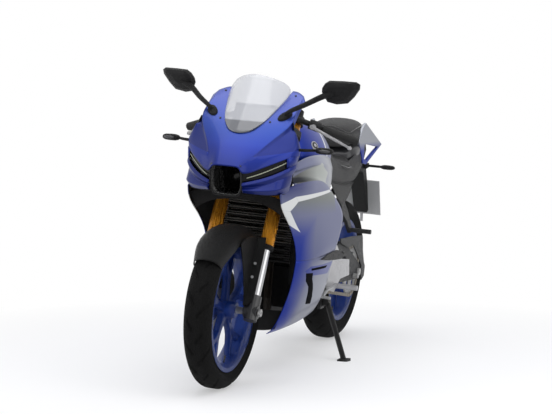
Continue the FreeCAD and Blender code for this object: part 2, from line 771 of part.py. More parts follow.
# Tank and seats
def hull(stations):
    """A solid through cross sections; each gives y and the left half's outline from top to bottom."""
    sections = []
    for y, half in stations:
        left = [(x, y, z) for x, z in half]
        right = [(-x, y, z) for x, z in reversed(half)]
        sections.append(left + right)
    return loft(sections)


def fuel_tank():
    stations = [
        (-272, [(30, 925), (62, 905), (84, 870), (92, 830), (88, TANK_FLOOR)]),
        (-215, [(40, 978), (84, 956), (116, 905), (140, 850), (134, TANK_FLOOR)]),
        (-100, [(50, 988), (98, 968), (132, 915), (156, 850), (150, TANK_FLOOR)]),
        (20, [(48, 972), (96, 950), (136, 900), (152, 846), (146, TANK_FLOOR)]),
        (130, [(40, 922), (80, 906), (112, 870), (118, 838), (112, TANK_FLOOR)]),
        (196, [(28, 846), (52, 838), (68, 824), (72, 816), (70, TANK_FLOOR)]),
    ]
    body = hull(stations)
    ring = bar(vec(0, CAP_Y, 950), vec(0, CAP_Y, CAP_SEAT_Z), CAP_RADIUS + 8, 24)
    neck = rod(vec(0, CAP_Y, 900), vec(0, CAP_Y, CAP_SEAT_Z + 1), 19)
    return fused([body, ring]).cut(neck)


def fuel_cap():
    """A flush lid on the tank's ring, hinged at its front edge."""
    base = CAP_SEAT_Z + SEAT_GAP
    top = base + CAP_THICKNESS
    lid = bar(vec(0, CAP_Y, base), vec(0, CAP_Y, top), CAP_RADIUS, 24)
    lock = bar(vec(0, CAP_Y, top), vec(0, CAP_Y, top + 3), 11, 12)
    ear = block((-10, 10), (CAP_HINGE_Y, CAP_Y - CAP_RADIUS + 8), (base, top))
    knuckle = rod(vec(-10, CAP_HINGE_Y, CAP_HINGE_Z), vec(10, CAP_HINGE_Y, CAP_HINGE_Z), CAP_THICKNESS / 2)
    return fused([lid, lock, ear, knuckle])


def tank_sides():
    """Panels between tank, frame and seat, on both sides."""
    rows = [
        [(176, -330, 822), (178, -200, 830), (172, -60, 838), (156, 60, 836), (128, 170, 816)],
        [(200, -290, 790), (196, -190, 780), (184, -70, 772), (162, 60, 770), (146, 200, 765)],
        [(196, -262, 742), (192, -180, 738), (180, -60, 730), (160, 90, 722), (150, 300, 712)],
        [(186, -150, 680), (182, -110, 678), (172, -20, 672), (160, 110, 665), (152, 232, 668)],
    ]
    panel = skin(rows, PANEL, inwards=[(-1, 0)] * len(rows))
    studs = [seated(bar(vec(x, y, z), vec(130, y, z), 7), made("fuel_tank"), ACROSS)
             for x, y, z in ((177, -210, 824), (168, 10, 828))]
    return both(fused([panel] + studs))


def rider_seat():
    stations = [
        (198, [(50, 830), (68, 820), (76, 800), (74, 782)]),
        (270, [(74, 802), (102, 794), (116, 776), (112, 754)]),
        (360, [(92, 800), (124, 790), (136, 766), (130, rail_top(360))]),
        (430, [(88, 824), (116, 808), (124, 780), (118, rail_top(430))]),
    ]
    return hull(stations)


def pillion_seat():
    stations = [
        (434, [(60, 930), (84, 920), (100, 892), (98, 858 + SEAT_GAP)]),
        (520, [(72, 962), (98, 950), (110, 920), (106, 888 + SEAT_GAP)]),
        (620, [(68, 984), (92, 972), (105, 944), (100, 910 + SEAT_GAP)]),
        (700, [(50, 988), (74, 978), (88, 956), (84, 925.3 + SEAT_GAP)]),
    ]
    return hull(stations)


def tail_cowl():
    """The tail under the pillion seat, with an open wing at each side."""
    stations = []
    for y, top, wide, upper, middle in ((434.3, 858, 112, 850, 820), (520, 888, 118, 880, 846),
                                        (620, 910, 112, 904, 868), (704, 926, 92, 920, 880)):
        floor = rail_top(y)
        stations.append((y, [(0.66 * wide, top), (wide, upper), (1.06 * wide, middle), (0.9 * wide, floor)]))
    stations.append((820, [(34, 922), (60, 914), (66, 884), (50, 842)]))
    body = hull(stations)
    hump = hull([(701, [(46, 982), (72, 972), (86, 948), (80, 920)]),
                 (800, [(26, 950), (50, 942), (58, 926), (54, 908)])])
    wing = [(556, 900), (650, 950), (700, 962), (800, 902), (742, 880), (668, 826), (586, 838)]
    window = [(640, 868), (700, 892), (752, 886), (668, 846)]
    out = 114.0
    fin = prism(wing, out, out + 12).cut(prism(window, out - 20, out + 40))
    fin.rotate(vec(out, 560, 880), UP_AXIS, -9)
    return fused([body, hump, fin, mirrored(fin)])


def tail_light():
    near = [(24, 912), (52, 906), (58, 884), (46, 846)]
    far = [(18, 902), (42, 898), (46, 884), (38, 858)]
    return hull([(820 + SEAT_GAP, near), (838, far)])


def plate_holder():
    """The arm behind the tail that carries signals, lamp and plate."""
    front = rail_top(704)
    arm = [(704, front - SEAT_GAP), (820, 842 - SEAT_GAP), (880, 822), (PLATE_Y - 58, 790),
           (PLATE_Y + 62, 560), (PLATE_Y + 38, 548), (PLATE_Y - 96, 742), (880, 762), (720, 786)]
    back = prism(arm, -34, 34)
    board = prism([(PLATE_Y - 12, 700), (PLATE_Y, 706), (PLATE_Y + 70, 556), (PLATE_Y + 58, 550)], -38, 38)
    return fused([back, board])


def number_plate():
    face = PLATE_Y + SEAT_GAP
    outline = [(face, 706), (face + 2.5, 707), (face + 80, 541), (face + 77.5, 540)]
    return prism(outline, -90, 90)


# Rear end
def whole_swingarm():
    """Two arms with a truss above each, the pivot tube and the cross member, still in one."""
    if "whole_swingarm" in MADE:
        return MADE["whole_swingarm"]
    outline = [(PIVOT_Y - 30, PIVOT_Z - 32), (PIVOT_Y - 30, PIVOT_Z + 32), (320, 462), (420, 470),
               (REAR_Y + 34, REAR_Z + 26), (REAR_Y + 34, REAR_Z - 26), (REAR_Y - 60, REAR_Z - 30)]
    window = [(260, 372), (330, 420), (410, 428), (REAR_Y - 130, REAR_Z + 36), (REAR_Y - 200, REAR_Z + 24)]
    low_window = [(PIVOT_Y + 60, 330), (PIVOT_Y + 130, 352), (REAR_Y - 210, REAR_Z + 4),
                  (REAR_Y - 160, REAR_Z - 10)]
    inner = ARM_X
    outer = ARM_X + ARM_WIDTH
    arm = prism(outline, inner, outer).cut(prism(window, 80, 140)).cut(prism(low_window, 80, 140))
    pivot = bar(vec(-outer, PIVOT_Y, PIVOT_Z), vec(outer, PIVOT_Y, PIVOT_Z), 24, 12)
    cross = block((-inner - 2, inner + 2), (PIVOT_Y + 70, PIVOT_Y + 130), (PIVOT_Z - 24, PIVOT_Z + 14))
    left = arm.cut(bar(vec(60, REAR_Y, REAR_Z), vec(160, REAR_Y, REAR_Z), AXLE_RADIUS + 2 * SEAT_GAP, 12))
    body = fused([left, mirrored(left), pivot, cross])
    bore = rod(vec(-130, PIVOT_Y, PIVOT_Z), vec(130, PIVOT_Y, PIVOT_Z), AXLE_RADIUS + RUNNING_FIT)
    MADE["whole_swingarm"] = body.cut(bore)
    return MADE["whole_swingarm"]


def left_arm_space():
    return block((ARM_X, 2 * ARM_X), (-100, 1400), (0, 900))


def swingarm():
    """The middle of the swingarm: pivot tube and cross member."""
    return whole_swingarm().cut(left_arm_space()).cut(mirrored(left_arm_space()))


def swingarm_left():
    return whole_swingarm().common(left_arm_space())


def swingarm_right():
    return whole_swingarm().common(mirrored(left_arm_space()))


def stand_spools():
    """Threaded bosses on the arms' outer faces, for the hooks of a paddock stand."""
    face = vec(ARM_X + ARM_WIDTH + SEAT_GAP, REAR_Y - 70, REAR_Z - 12)
    end = face + ACROSS * SPOOL_LENGTH
    return both(bar(face, end, SPOOL_RADIUS, 16).cut(rod(face - ACROSS, end + ACROSS, SPOOL_HOLE)))


def rear_shock():
    low = vec(0, PIVOT_Y + 98, PIVOT_Z + 18)
    high = vec(0, 140, 545)
    step = (high - low).normalize()
    spring = bar(low + step * 34, high - step * 26, 30, 12)
    return fused([bar(low, high, 9, 8), spring])


def muffler():
    """Collector from under the engine and the tapered canister at the right."""
    run = [(-58, -61.7, 200), (-58, -30, 200), (-66, 60, 200), (-118, 200, 208), (-176, 330, 250)]
    link = pipe(run, 20, 10)
    axis = [vec(-176, 330, 250), vec(-184, 400, 276), vec(-192, 650, 372), vec(-193, 676, 382)]
    body = taper(axis[0], axis[1], 22, 48)
    can = taper(axis[1], axis[2], 48, 45)
    cap = taper(axis[2], axis[3], 45, 32)
    along = (axis[3] - axis[2]).normalize()
    hole = bar(axis[3] - along * 30, axis[3] + along * 5, 18, 12)
    return fused([link, body, can, cap]).cut(hole)


def exhaust_header():
    ports = []
    for x in (-42, 42):
        down = [(x, -268, 608), (x, -322, 580), (x, -330, 540), (x * 0.9, -318, 300)]
        under = [(x * 0.8 - 8, -268, 214), (x * 0.3 - 50, -160, 200), (-58, -110, 200), (-58, -62, 200)]
        ports.append(pipe(down + under, 15))
    return seated(fused(ports), made("engine"), vec(0, -1, 0))


def footpegs():
    """Bracket, heel plate, peg and pedal on each side."""
    face = PLATE_X + PLATE + SEAT_GAP
    plate = [(110, 330), (112, 420), (150, 450), (240, 470), (330, 404), (452, 392), (470, 322), (330, 318),
             (250, 270), (150, 290)]
    bracket = prism(plate, face, face + 7)
    peg = bar(vec(face + 6, 262, 296), vec(face + 104, 262, 296), 11)
    pedal = face + 14
    shift = pipe([(pedal, 250, 300), (pedal, 120, 292), (pedal, 60, 270), (face + 50, 52, 270)], 6)
    pin = bar(vec(face + 5, 244, 300), vec(face + 20, 244, 300), 9, 8)
    left = fused([bracket, peg, pin, shift])
    return both(left)


def passenger_hangers():
    arm_outline = [(330, 640), (352, 660), (440, 600), (520, 524), (512, 500), (430, 560), (340, 600)]
    arm = prism(arm_outline, 106, 122)
    arm = seated(arm, whole_frame(), ACROSS)
    peg = bar(vec(120, 506, 515), vec(214, 506, 515), 10)
    return both(fused([arm, peg]))


def over_disc(body, x, y, z, radius):
    """Cut the slot that a spinning disc needs through a caliper."""
    half = DISC_THICKNESS / 2 + PAD_GAP
    slot = rod(vec(x - half, y, z), vec(x + half, y, z), radius + 3)
    dish = rod(vec(x, y, z), vec(x + 60, y, z), radius - DISC_BAND + 3)
    return body.cut(slot).cut(dish)


def rear_caliper():
    """Caliper over the disc's top, on a carrier flat against the arm."""
    outer = -ARM_X + SEAT_GAP
    body = block((outer, REAR_DISC_X + 18), (REAR_Y - 38, REAR_Y + 38), (REAR_Z + 62, REAR_Z + 126))
    carrier = block((outer, REAR_DISC_X - 5), (REAR_Y - 22, REAR_Y + 22), (REAR_Z + 20, REAR_Z + 64))
    return over_disc(fused([body, carrier]), REAR_DISC_X, REAR_Y, REAR_Z, REAR_DISC_RADIUS)


def rear_axle():
    spacer = REAR_HUB_WIDTH / 2 + SEAT_GAP
    inner = ARM_X
    end = ARM_X + ARM_WIDTH + SEAT_GAP
    body = axle(REAR_Y, REAR_Z, end, end, 16)
    collars = [bar(vec(spacer, REAR_Y, REAR_Z), vec(inner - SEAT_GAP, REAR_Y, REAR_Z), 14, 12),
               bar(vec(-inner + SEAT_GAP, REAR_Y, REAR_Z), vec(-spacer, REAR_Y, REAR_Z), 14, 12)]
    hole = rod(vec(-200, REAR_Y, REAR_Z), vec(200, REAR_Y, REAR_Z), AXLE_BORE)
    return fused([body] + collars).cut(hole)


def upright(x, y, z):
    """A point given on the ground's own axes, in the upright machine's frame."""
    turn = math.radians(LEAN)
    across = x - CROWN_FLAT
    high = z * math.cos(turn) + across * math.sin(turn)
    return vec(CROWN_FLAT + across * math.cos(turn) - z * math.sin(turn), y, high)


def side_stand():
    """Leg from its pivot on the frame plate to a foot pad flat on the ground."""
    near = STAND_PIVOT + STAND_AXIS * (STAND_LUG + SEAT_GAP)
    top = near + STAND_AXIS * STAND_RADIUS
    ankle = upright(STAND_FOOT_X, STAND_FOOT_Y, 6.5)
    leg = bar(top, ankle, STAND_RADIUS, 12)
    boss = rod(near, near + STAND_AXIS * 2 * STAND_RADIUS, 17)
    pad = []
    for height in (0, 7):
        ring = []
        for across, along in ((-20, -26), (22, -30), (30, 0), (22, 30), (-20, 26)):
            point = upright(STAND_FOOT_X + across, STAND_FOOT_Y + along, height)
            ring.append((point.x, point.y, point.z))
        pad.append(ring)
    return fused([leg, boss, loft(pad)])


# Front end
def fork_outers():
    low = steer(FORK_SPREAD, FORK_OFFSET, OUTER_END)
    return both(bar(low, steer(FORK_SPREAD, FORK_OFFSET, 175), OUTER_RADIUS, 20))


def fork_legs():
    """Inner tubes under the outers, with the lugs that clamp the axle."""
    top = steer(FORK_SPREAD, FORK_OFFSET, OUTER_END - SEAT_GAP)
    low = steer(FORK_SPREAD, FORK_OFFSET, AXLE_T + 10)
    tube = bar(low, top, STANCHION_RADIUS, 16)
    foot = steer(FORK_SPREAD, FORK_OFFSET, AXLE_T - 34)
    lug = bar(foot, steer(FORK_SPREAD, FORK_OFFSET, AXLE_T + 60), 25, 16)
    inner = FORK_SPREAD - 28
    clamp = bar(vec(inner, FRONT_Y, FRONT_RADIUS), vec(FORK_SPREAD + 24, FRONT_Y, FRONT_RADIUS), 24, 16)
    body = fused([tube, lug, clamp])
    hole = bar(vec(0, FRONT_Y, FRONT_RADIUS), vec(200, FRONT_Y, FRONT_RADIUS), AXLE_RADIUS + 2 * SEAT_GAP, 12)
    return both(body.cut(hole))


def triple_clamps():
    """Stem with the clamps that hold both fork tubes above and below the head tube."""
    def clamp(low):
        base = steer(0, 0, low)
        corners = []
        inner = [(0, -30), (34, -24), (FORK_SPREAD + 26, FORK_OFFSET - 34), (FORK_SPREAD + 36, FORK_OFFSET)]
        outer = [(FORK_SPREAD + 26, FORK_OFFSET + 36), (FORK_SPREAD - 30, FORK_OFFSET + 34)]
        outer = outer + [(40, 26), (0, 30)]
        for x, forward in inner + outer:
            corners.append(vec(x, 0, 0) + STEER_FORWARD * forward)
        corners = corners + [vec(-c.x, c.y, c.z) for c in reversed(corners[1:-1])]
        corners = [base + c for c in corners]
        face = Part.Face(Part.makePolygon(corners + [corners[0]]))
        return face.extrude(STEER_UP * CLAMP_THICKNESS)
    half = HEAD_TUBE_LENGTH / 2 + SEAT_GAP
    low = clamp(-half - CLAMP_THICKNESS)
    high = clamp(half)
    stem = rod(steer(0, 0, -half - CLAMP_THICKNESS), steer(0, 0, half + CLAMP_THICKNESS + 10), STEM_RADIUS)
    body = fused([low, high, stem])
    holes = [bar(steer(x, FORK_OFFSET, -300), steer(x, FORK_OFFSET, 300), OUTER_RADIUS + SEAT_GAP, 20)
             for x in (FORK_SPREAD, -FORK_SPREAD)]
    holes.append(rod(steer(0, 0, -300), steer(0, 0, 300), STEM_BORE))
    return body.cut(Part.makeCompound(holes))


def bar_point(share):
    return vec(*BAR_START) + (vec(*BAR_END) - vec(*BAR_START)) * share


def clip_ons():
    """A ring on each fork tube, the bar tube, and the switch housing beside the grip."""
    ring_low = steer(FORK_SPREAD, FORK_OFFSET, 118)
    ring = bar(ring_low, steer(FORK_SPREAD, FORK_OFFSET, 150), OUTER_RADIUS + 9, 20)
    lug = bar(vec(118, -376, 988), bar_point(0.06), 12, 8)
    tube = bar(bar_point(0), bar_point(1), BAR_RADIUS, 12)
    switch = bar(bar_point(0.2), bar_point(0.38), 20, 12)
    hole_low = steer(FORK_SPREAD, FORK_OFFSET, 0)
    hole = bar(hole_low, steer(FORK_SPREAD, FORK_OFFSET, 300), OUTER_RADIUS + SEAT_GAP, 20)
    return both(fused([ring, lug, tube, switch]).cut(hole))


def grips():
    body = bar(bar_point(0.42), bar_point(1.0), GRIP_RADIUS, 12)
    return both(body.cut(bar(bar_point(0), bar_point(1.2), BAR_RADIUS, 12)))


def levers():
    pivot = bar_point(0.3) + vec(0, -46, -4)
    tip = vec(326, -352, 904)
    mount = seated(bar(bar_point(0.3) + vec(0, -16, -2), pivot, 9), made("clip_ons"), vec(0, -1, 0))
    blade = taper(pivot, tip, 7, 5, 8)
    along = (tip - pivot).normalize()
    ball = fused([taper(tip - along * 8, tip, 5, 9, 8), taper(tip, tip + along * 8, 9, 5, 8)])
    return both(fused([mount, blade, ball]))


def front_fender():
    """A hugging arch over the tyre with a guard down to each fork leg."""
    arch = FRONT_RADIUS + 16
    half = [(72, arch - 46), (64, arch - 16), (34, arch + 2)]
    outer = half + [(-x, r) for x, r in reversed(half)]
    inner = [(x * 0.94, r - PANEL) for x, r in reversed(outer)]
    shell = turned(outer + inner, FRONT_Y, FRONT_RADIUS, FENDER_START, FENDER_SWEEP)
    low = AXLE_T + arch - 39
    ear = bar(steer(66, FORK_OFFSET, low), steer(92, FORK_OFFSET, low), 15)
    ear = seated(ear, made("fork_outers"), vec(-1, 0, 0))
    return fused([shell, ear, mirrored(ear)])


def front_caliper():
    """Body seated behind the right fork leg, over the disc's edge."""
    y_range = (FRONT_Y + 64, FRONT_Y + 118)
    body = block((FRONT_DISC_X - 32, FRONT_DISC_X + 16), y_range, (FRONT_RADIUS + 56, FRONT_RADIUS + 128))
    low = steer(-FORK_SPREAD, FORK_OFFSET, AXLE_T)
    body = body.cut(bar(low, low + STEER_UP * 300, STANCHION_RADIUS + SEAT_GAP, 16))
    body = body.cut(bar(low, low + STEER_UP * (60 + SEAT_GAP), 25 + SEAT_GAP, 16))
    return over_disc(body, FRONT_DISC_X, FRONT_Y, FRONT_RADIUS, FRONT_DISC_RADIUS)


# Placing on the ground
def settle(shape, shift):
    """Lean the upright machine about the left edge of its tyres' flat crowns and move its origin."""
    shape = shape.copy()
    shape.rotate(vec(CROWN_FLAT, 0, 0), vec(0, 1, 0), LEAN)
    shape.translate(shift)
    return shape


def front_wheel_disc():
    return disc(FRONT_Y, FRONT_RADIUS, FRONT_DISC_X, FRONT_DISC_RADIUS, -FRONT_HUB_WIDTH / 2)


def rear_wheel_disc():
    return disc(REAR_Y, REAR_Z, REAR_DISC_X, REAR_DISC_RADIUS, -REAR_HUB_WIDTH / 2)


def front_axle():
    inner = FORK_SPREAD - 28
    hub = FRONT_HUB_WIDTH / 2 + SEAT_GAP
    end = FORK_SPREAD + 27 + SEAT_GAP
    body = axle(FRONT_Y, FRONT_RADIUS, end, end, 14)
    spacers = [bar(vec(hub, FRONT_Y, FRONT_RADIUS), vec(inner - SEAT_GAP, FRONT_Y, FRONT_RADIUS), 13, 12),
               bar(vec(-inner + SEAT_GAP, FRONT_Y, FRONT_RADIUS), vec(-hub, FRONT_Y, FRONT_RADIUS), 13, 12)]
    hole = rod(vec(-200, FRONT_Y, FRONT_RADIUS), vec(200, FRONT_Y, FRONT_RADIUS), AXLE_BORE)
    return fused([body] + spacers).cut(hole)


def rear_sprocket():
    plate = sprocket(REAR_TEETH, REAR_Y, REAR_Z, CHAIN_X, SPROCKET_THICKNESS)
    start = vec(REAR_HUB_WIDTH / 2 + SEAT_GAP, REAR_Y, REAR_Z)
    end = vec(CHAIN_X + SPROCKET_THICKNESS / 2, REAR_Y, REAR_Z)
    ring = bar(start, end, 1.6 * HUB_RADIUS, 24).cut(bar(start, end, 1.25 * HUB_RADIUS, 24))
    return fused([plate, ring])


BUILDERS = {
    "frame": frame,
    "subframe": subframe,
    "pivot_plates": pivot_plates,
    "engine": engine,
    "radiator": radiator,
    "front_cowl": front_cowl,
    "windscreen": windscreen,
    "headlamps": headlamps,
    "intake_duct": intake_duct,
    "dash": dash,
    "side_cowl_left": side_cowl,
    "side_cowl_right": lambda: mirrored(side_cowl()),
    "lower_cowl_left": lower_cowl,
    "lower_cowl_right": lambda: mirrored(lower_cowl()),
    "mirrors": mirrors,
    "turn_signals": turn_signals,
    "fuel_tank": fuel_tank,
    "tank_sides": tank_sides,
    "rider_seat": rider_seat,
    "pillion_seat": pillion_seat,
    "tail_cowl": tail_cowl,
    "tail_light": tail_light,
    "plate_holder": plate_holder,
    "number_plate": number_plate,
    "exhaust_header": exhaust_header,
    "muffler": muffler,
    "swingarm": swingarm,
    "swingarm_left": swingarm_left,
    "swingarm_right": swingarm_right,
    "stand_spools": stand_spools,
    "rear_shock": rear_shock,
    "chain": chain,
    "footpegs": footpegs,
    "passenger_hangers": passenger_hangers,
    "rear_caliper": rear_caliper,
    "rear_axle": rear_axle,
    "fork_outers": fork_outers,
    "fork_legs": fork_legs,
    "triple_clamps": triple_clamps,
    "clip_ons": clip_ons,
    "grips": grips,
    "levers": levers,
    "front_fender": front_fender,
    "front_axle": front_axle,
    "front_caliper": front_caliper,
    "front_rim": lambda: rim(FRONT_Y, FRONT_RADIUS, FRONT_BEAD, FRONT_RIM_WIDTH, FRONT_HUB_WIDTH, (-1,)),
    "front_tyre": lambda: tyre(FRONT_Y, FRONT_RADIUS, FRONT_BEAD, FRONT_TYRE_WIDTH, FRONT_RIM_WIDTH),
    "front_disc": front_wheel_disc,
    "rear_rim": lambda: rim(REAR_Y, REAR_Z, REAR_BEAD, REAR_RIM_WIDTH, REAR_HUB_WIDTH, (-1, 1)),
    "rear_tyre": lambda: tyre(REAR_Y, REAR_Z, REAR_BEAD, REAR_TYRE_WIDTH, REAR_RIM_WIDTH),
    "rear_disc": rear_wheel_disc,
    "rear_sprocket": rear_sprocket,
    "side_stand": side_stand,
    "fuel_cap": fuel_cap,
}


def main():
    os.makedirs("parts", exist_ok=True)
    shapes = {name: settle(made(name), ORIGIN) for name in BUILDERS}
    whole = Part.makeCompound(list(shapes.values())).BoundBox
    shift = vec(-whole.Center.x, -whole.Center.y, -whole.ZMin)
    for name, shape in shapes.items():
        shape.translate(shift)
        shape.exportStep("parts/" + name + ".step")
    print("size", round(whole.XLength), round(whole.YLength), round(whole.ZLength))
    print("shift", shift)
    print("nodes", len(shapes))


main()
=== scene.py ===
# %% [markdown]
# # Dressing a sport bike
# The machine's solids come from CAD, already leaning on their side stand. This lesson gives them their
# looks: thin bodywork, tyres with grooves, cast wheels, paint, and the studio round them. Everything is
# drawn upright, in millimetres, as a fitter would measure it, and one matrix then leans it and sets it on
# the ground.

import json
import math

import bmesh
import bpy
from mathutils import Matrix, Vector
from mathutils.bvhtree import BVHTree


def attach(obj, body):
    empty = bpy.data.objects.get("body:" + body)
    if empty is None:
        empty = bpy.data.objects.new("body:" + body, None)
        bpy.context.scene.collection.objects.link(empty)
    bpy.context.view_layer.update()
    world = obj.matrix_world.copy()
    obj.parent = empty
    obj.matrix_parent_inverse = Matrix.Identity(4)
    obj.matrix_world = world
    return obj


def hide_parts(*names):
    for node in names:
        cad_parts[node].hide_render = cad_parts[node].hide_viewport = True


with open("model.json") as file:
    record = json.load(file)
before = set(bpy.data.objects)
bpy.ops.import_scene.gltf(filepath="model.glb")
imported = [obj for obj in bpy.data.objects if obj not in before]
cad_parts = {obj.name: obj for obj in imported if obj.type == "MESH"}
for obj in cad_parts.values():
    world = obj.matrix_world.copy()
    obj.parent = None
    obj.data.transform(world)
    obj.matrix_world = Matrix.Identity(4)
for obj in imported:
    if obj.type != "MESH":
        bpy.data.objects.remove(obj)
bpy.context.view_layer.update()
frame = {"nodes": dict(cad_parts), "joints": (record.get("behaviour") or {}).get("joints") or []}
nodes = frame["nodes"]
joints = {joint["name"]: joint for joint in frame["joints"]}
front_hub = Vector(joints["front_wheel"]["pos_m"])
rear_hub = Vector(joints["rear_wheel"]["pos_m"])
axle_line = Vector(joints["front_wheel"]["axis"])
lean = math.atan2(-axle_line.z, axle_line.x)
wheelbase = (rear_hub.y - front_hub.y) * 1000
print("nodes", len(nodes), "lean", round(math.degrees(lean), 2), "wheelbase", round(wheelbase))

# %% [markdown]
# The upright machine has its x axis to the rider's left, y rearward and z up. Its axles lie half a
# wheelbase ahead of and behind the middle. One matrix takes such a point to its place in the scene, in
# metres, and its inverse is used inside the paints, so that a stripe can be written in millimetres too.

# %% Place upright millimetres in the scene
FRONT_RADIUS = 293
REAR_RADIUS = 314
FRONT_AXLE = Vector((0, -wheelbase / 2, FRONT_RADIUS))
REAR_AXLE = Vector((0, wheelbase / 2, REAR_RADIUS))
PLACE = (Matrix.Translation(front_hub) @ Matrix.Rotation(lean, 4, "Y") @ Matrix.Scale(0.001, 4)
         @ Matrix.Translation(-FRONT_AXLE))
BACK = PLACE.inverted()


def spot(x, y, z):
    return PLACE @ Vector((x, y, z))


print("front axle at", [round(c, 3) for c in spot(*FRONT_AXLE)])

# %% [markdown]
# A material is a small network of nodes. To keep its sums readable, a socket is wrapped in a class that
# knows +, -, * and /, so that `1 - mask` adds the Math node by itself.


# %% A wrapper for sockets
class Wire:
    """A socket of a material, with Python's operators."""

    def __init__(self, paint, socket):
        self.paint = paint
        self.socket = socket

    def __add__(self, other):
        return self.paint.sum("ADD", self, other)

    def __radd__(self, other):
        return self.paint.sum("ADD", other, self)

    def __sub__(self, other):
        return self.paint.sum("SUBTRACT", self, other)

    def __rsub__(self, other):
        return self.paint.sum("SUBTRACT", other, self)

    def __mul__(self, other):
        return self.paint.sum("MULTIPLY", self, other)

    def __truediv__(self, other):
        return self.paint.sum("DIVIDE", self, other)

    def clamp(self):
        return self.paint.sum("ADD", self, 0.0, use_clamp=True)

    def least(self, other):
        return self.paint.sum("MINIMUM", self, other)

    def most(self, other):
        return self.paint.sum("MAXIMUM", self, other)


print("sums of sockets ready")

# %% [markdown]
# Every other node is made by one method of a second class, which owns the material. It also knows where a
# point lies on the upright machine, so that paint can be placed in millimetres.


# %% A wrapper for materials
class Paint:
    """A material whose surface is one Principled shader, fed by what its maker adds."""

    def __init__(self, name, **constants):
        self.material = bpy.data.materials.new(name)
        self.material.use_nodes = True
        self.tree = self.material.node_tree
        self.shader = self.tree.nodes["Principled BSDF"]
        for key, value in constants.items():
            self.shader.inputs[key.replace("_", " ").title().replace("Ior", "IOR")].default_value = value

    def node(self, kind, settings=None, inputs=None):
        made = self.tree.nodes.new("ShaderNode" + kind)
        for key, value in (settings or {}).items():
            setattr(made, key, value)
        for key, value in (inputs or {}).items():
            if isinstance(value, Wire):
                self.tree.links.new(value.socket, made.inputs[key])
            else:
                made.inputs[key].default_value = value
        return made

    def wire(self, node, output=0):
        return Wire(self, node.outputs[output])

    def sum(self, operation, one, two, use_clamp=False):
        settings = {"operation": operation, "use_clamp": use_clamp}
        return self.wire(self.node("Math", settings, {0: one, 1: two}))

    def place(self):
        """Where a point lies on the upright machine, in millimetres."""
        object_place = self.wire(self.node("TexCoord"), "Object")
        settings = {"vector_type": "POINT"}
        inputs = {"Vector": object_place, "Location": BACK.translation, "Rotation": BACK.to_euler(),
                  "Scale": (1000, 1000, 1000)}
        return self.wire(self.node("Mapping", settings, inputs))

    def axes(self):
        split = self.node("SeparateXYZ", None, {0: self.place()})
        return [self.wire(split, k) for k in range(3)]

    def noise(self, per_mm, detail=3.0, rough=0.6, stretch=None):
        here = self.place()
        if stretch:
            scaled = self.node("VectorMath", {"operation": "MULTIPLY"}, {0: here, 1: stretch})
            here = self.wire(scaled)
        inputs = {"Vector": here, "Scale": per_mm, "Detail": detail, "Roughness": rough}
        return self.wire(self.node("TexNoise", None, inputs), 0)

    def blend(self, factor, one, two):
        """A colour between two, given as (r, g, b) or as wires."""
        one = (*one, 1) if isinstance(one, tuple) else one
        two = (*two, 1) if isinstance(two, tuple) else two
        made = self.node("Mix", {"data_type": "RGBA"}, {0: factor, 6: one, 7: two})
        return self.wire(made, 2)

    def feed(self, **wires):
        for key, value in wires.items():
            self.tree.links.new(value.socket, self.shader.inputs[key.replace("_", " ").title()])

    def bump(self, height, distance):
        inputs = {"Height": height, "Distance": distance, "Strength": 1.0}
        self.feed(normal=self.wire(self.node("Bump", None, inputs)))


print("material helpers ready")

# %% [markdown]
# ## Paint for the bodywork
# The bodywork is metallic blue under a clear coat. Metallic paint is a dark colour with tiny flakes: a
# metal-like base that is fairly rough gives the broad glow on the upward faces, and a sharp clear coat over
# it gives the thin reflections. The flakes are a fine noise in the colour, far smaller than any panel.

# %% Metallic blue
BLUE = (0.003, 0.018, 0.21)
FLAKE = (0.010, 0.032, 0.28)
DEEP = (0.002, 0.010, 0.12)
MIDDLE_BLUE = (0.014, 0.042, 0.25)
LAVENDER_REFLECTION = (0.045, 0.068, 0.30)
SLATE = (0.100, 0.112, 0.215)
SILVER = (0.27, 0.28, 0.31)
GREEN_GREY = (0.105, 0.120, 0.115)
WHITE = (0.62, 0.63, 0.63)


def coated(name, **constants):
    settings = dict(metallic=0.6, roughness=0.40, coat_weight=0.2, coat_roughness=0.06,
                    specular_ior_level=0.2)
    settings.update(constants)
    return Paint(name, **settings)


def metallic(paint, colour):
    """Flakes: the colour a little lighter and darker from grain to grain."""
    flake = paint.noise(1.6, 1.0)
    return paint.blend((flake * 0.6).clamp(), colour, FLAKE)


print("paint for the bodywork: settings and flakes")

# %% [markdown]
# A stripe on the side is a mask: a number that is 1 inside an outline and 0 outside. A straight edge
# between two points is the distance from its line, scaled up and clamped, and an outline without dents is
# the least of its edges.


# %% Masks from straight edges
def inside(across, up, outline, soft=1.5):
    """1 within an outline without dents, given anticlockwise in (across, up)."""
    mask = None
    for (a, b), (c, d) in zip(outline, outline[1:] + outline[:1]):
        length = math.hypot(c - a, d - b)
        nx = -(d - b) / length
        ny = (c - a) / length
        edge = ((across - a) * nx + (up - b) * ny) / soft + 0.5
        mask = edge if mask is None else mask.least(edge)
    return mask.clamp()


def fade(value, start, end):
    """0 at start and 1 at end, and clamped beyond."""
    return ((value - start) / (end - start)).clamp()


print("masks and fades ready")

# %% [markdown]
# The nose is deep blue over the lamps and lighter upward, the lavender at its top a painted reflection of the
# light on its upward faces; a facet that faces the ground is painted dark as shade. The side panels carry the
# white chevron round its grey filling, with blue ahead of it, slate behind it and silver low down, and a
# painted shade at their top front, under the nose.


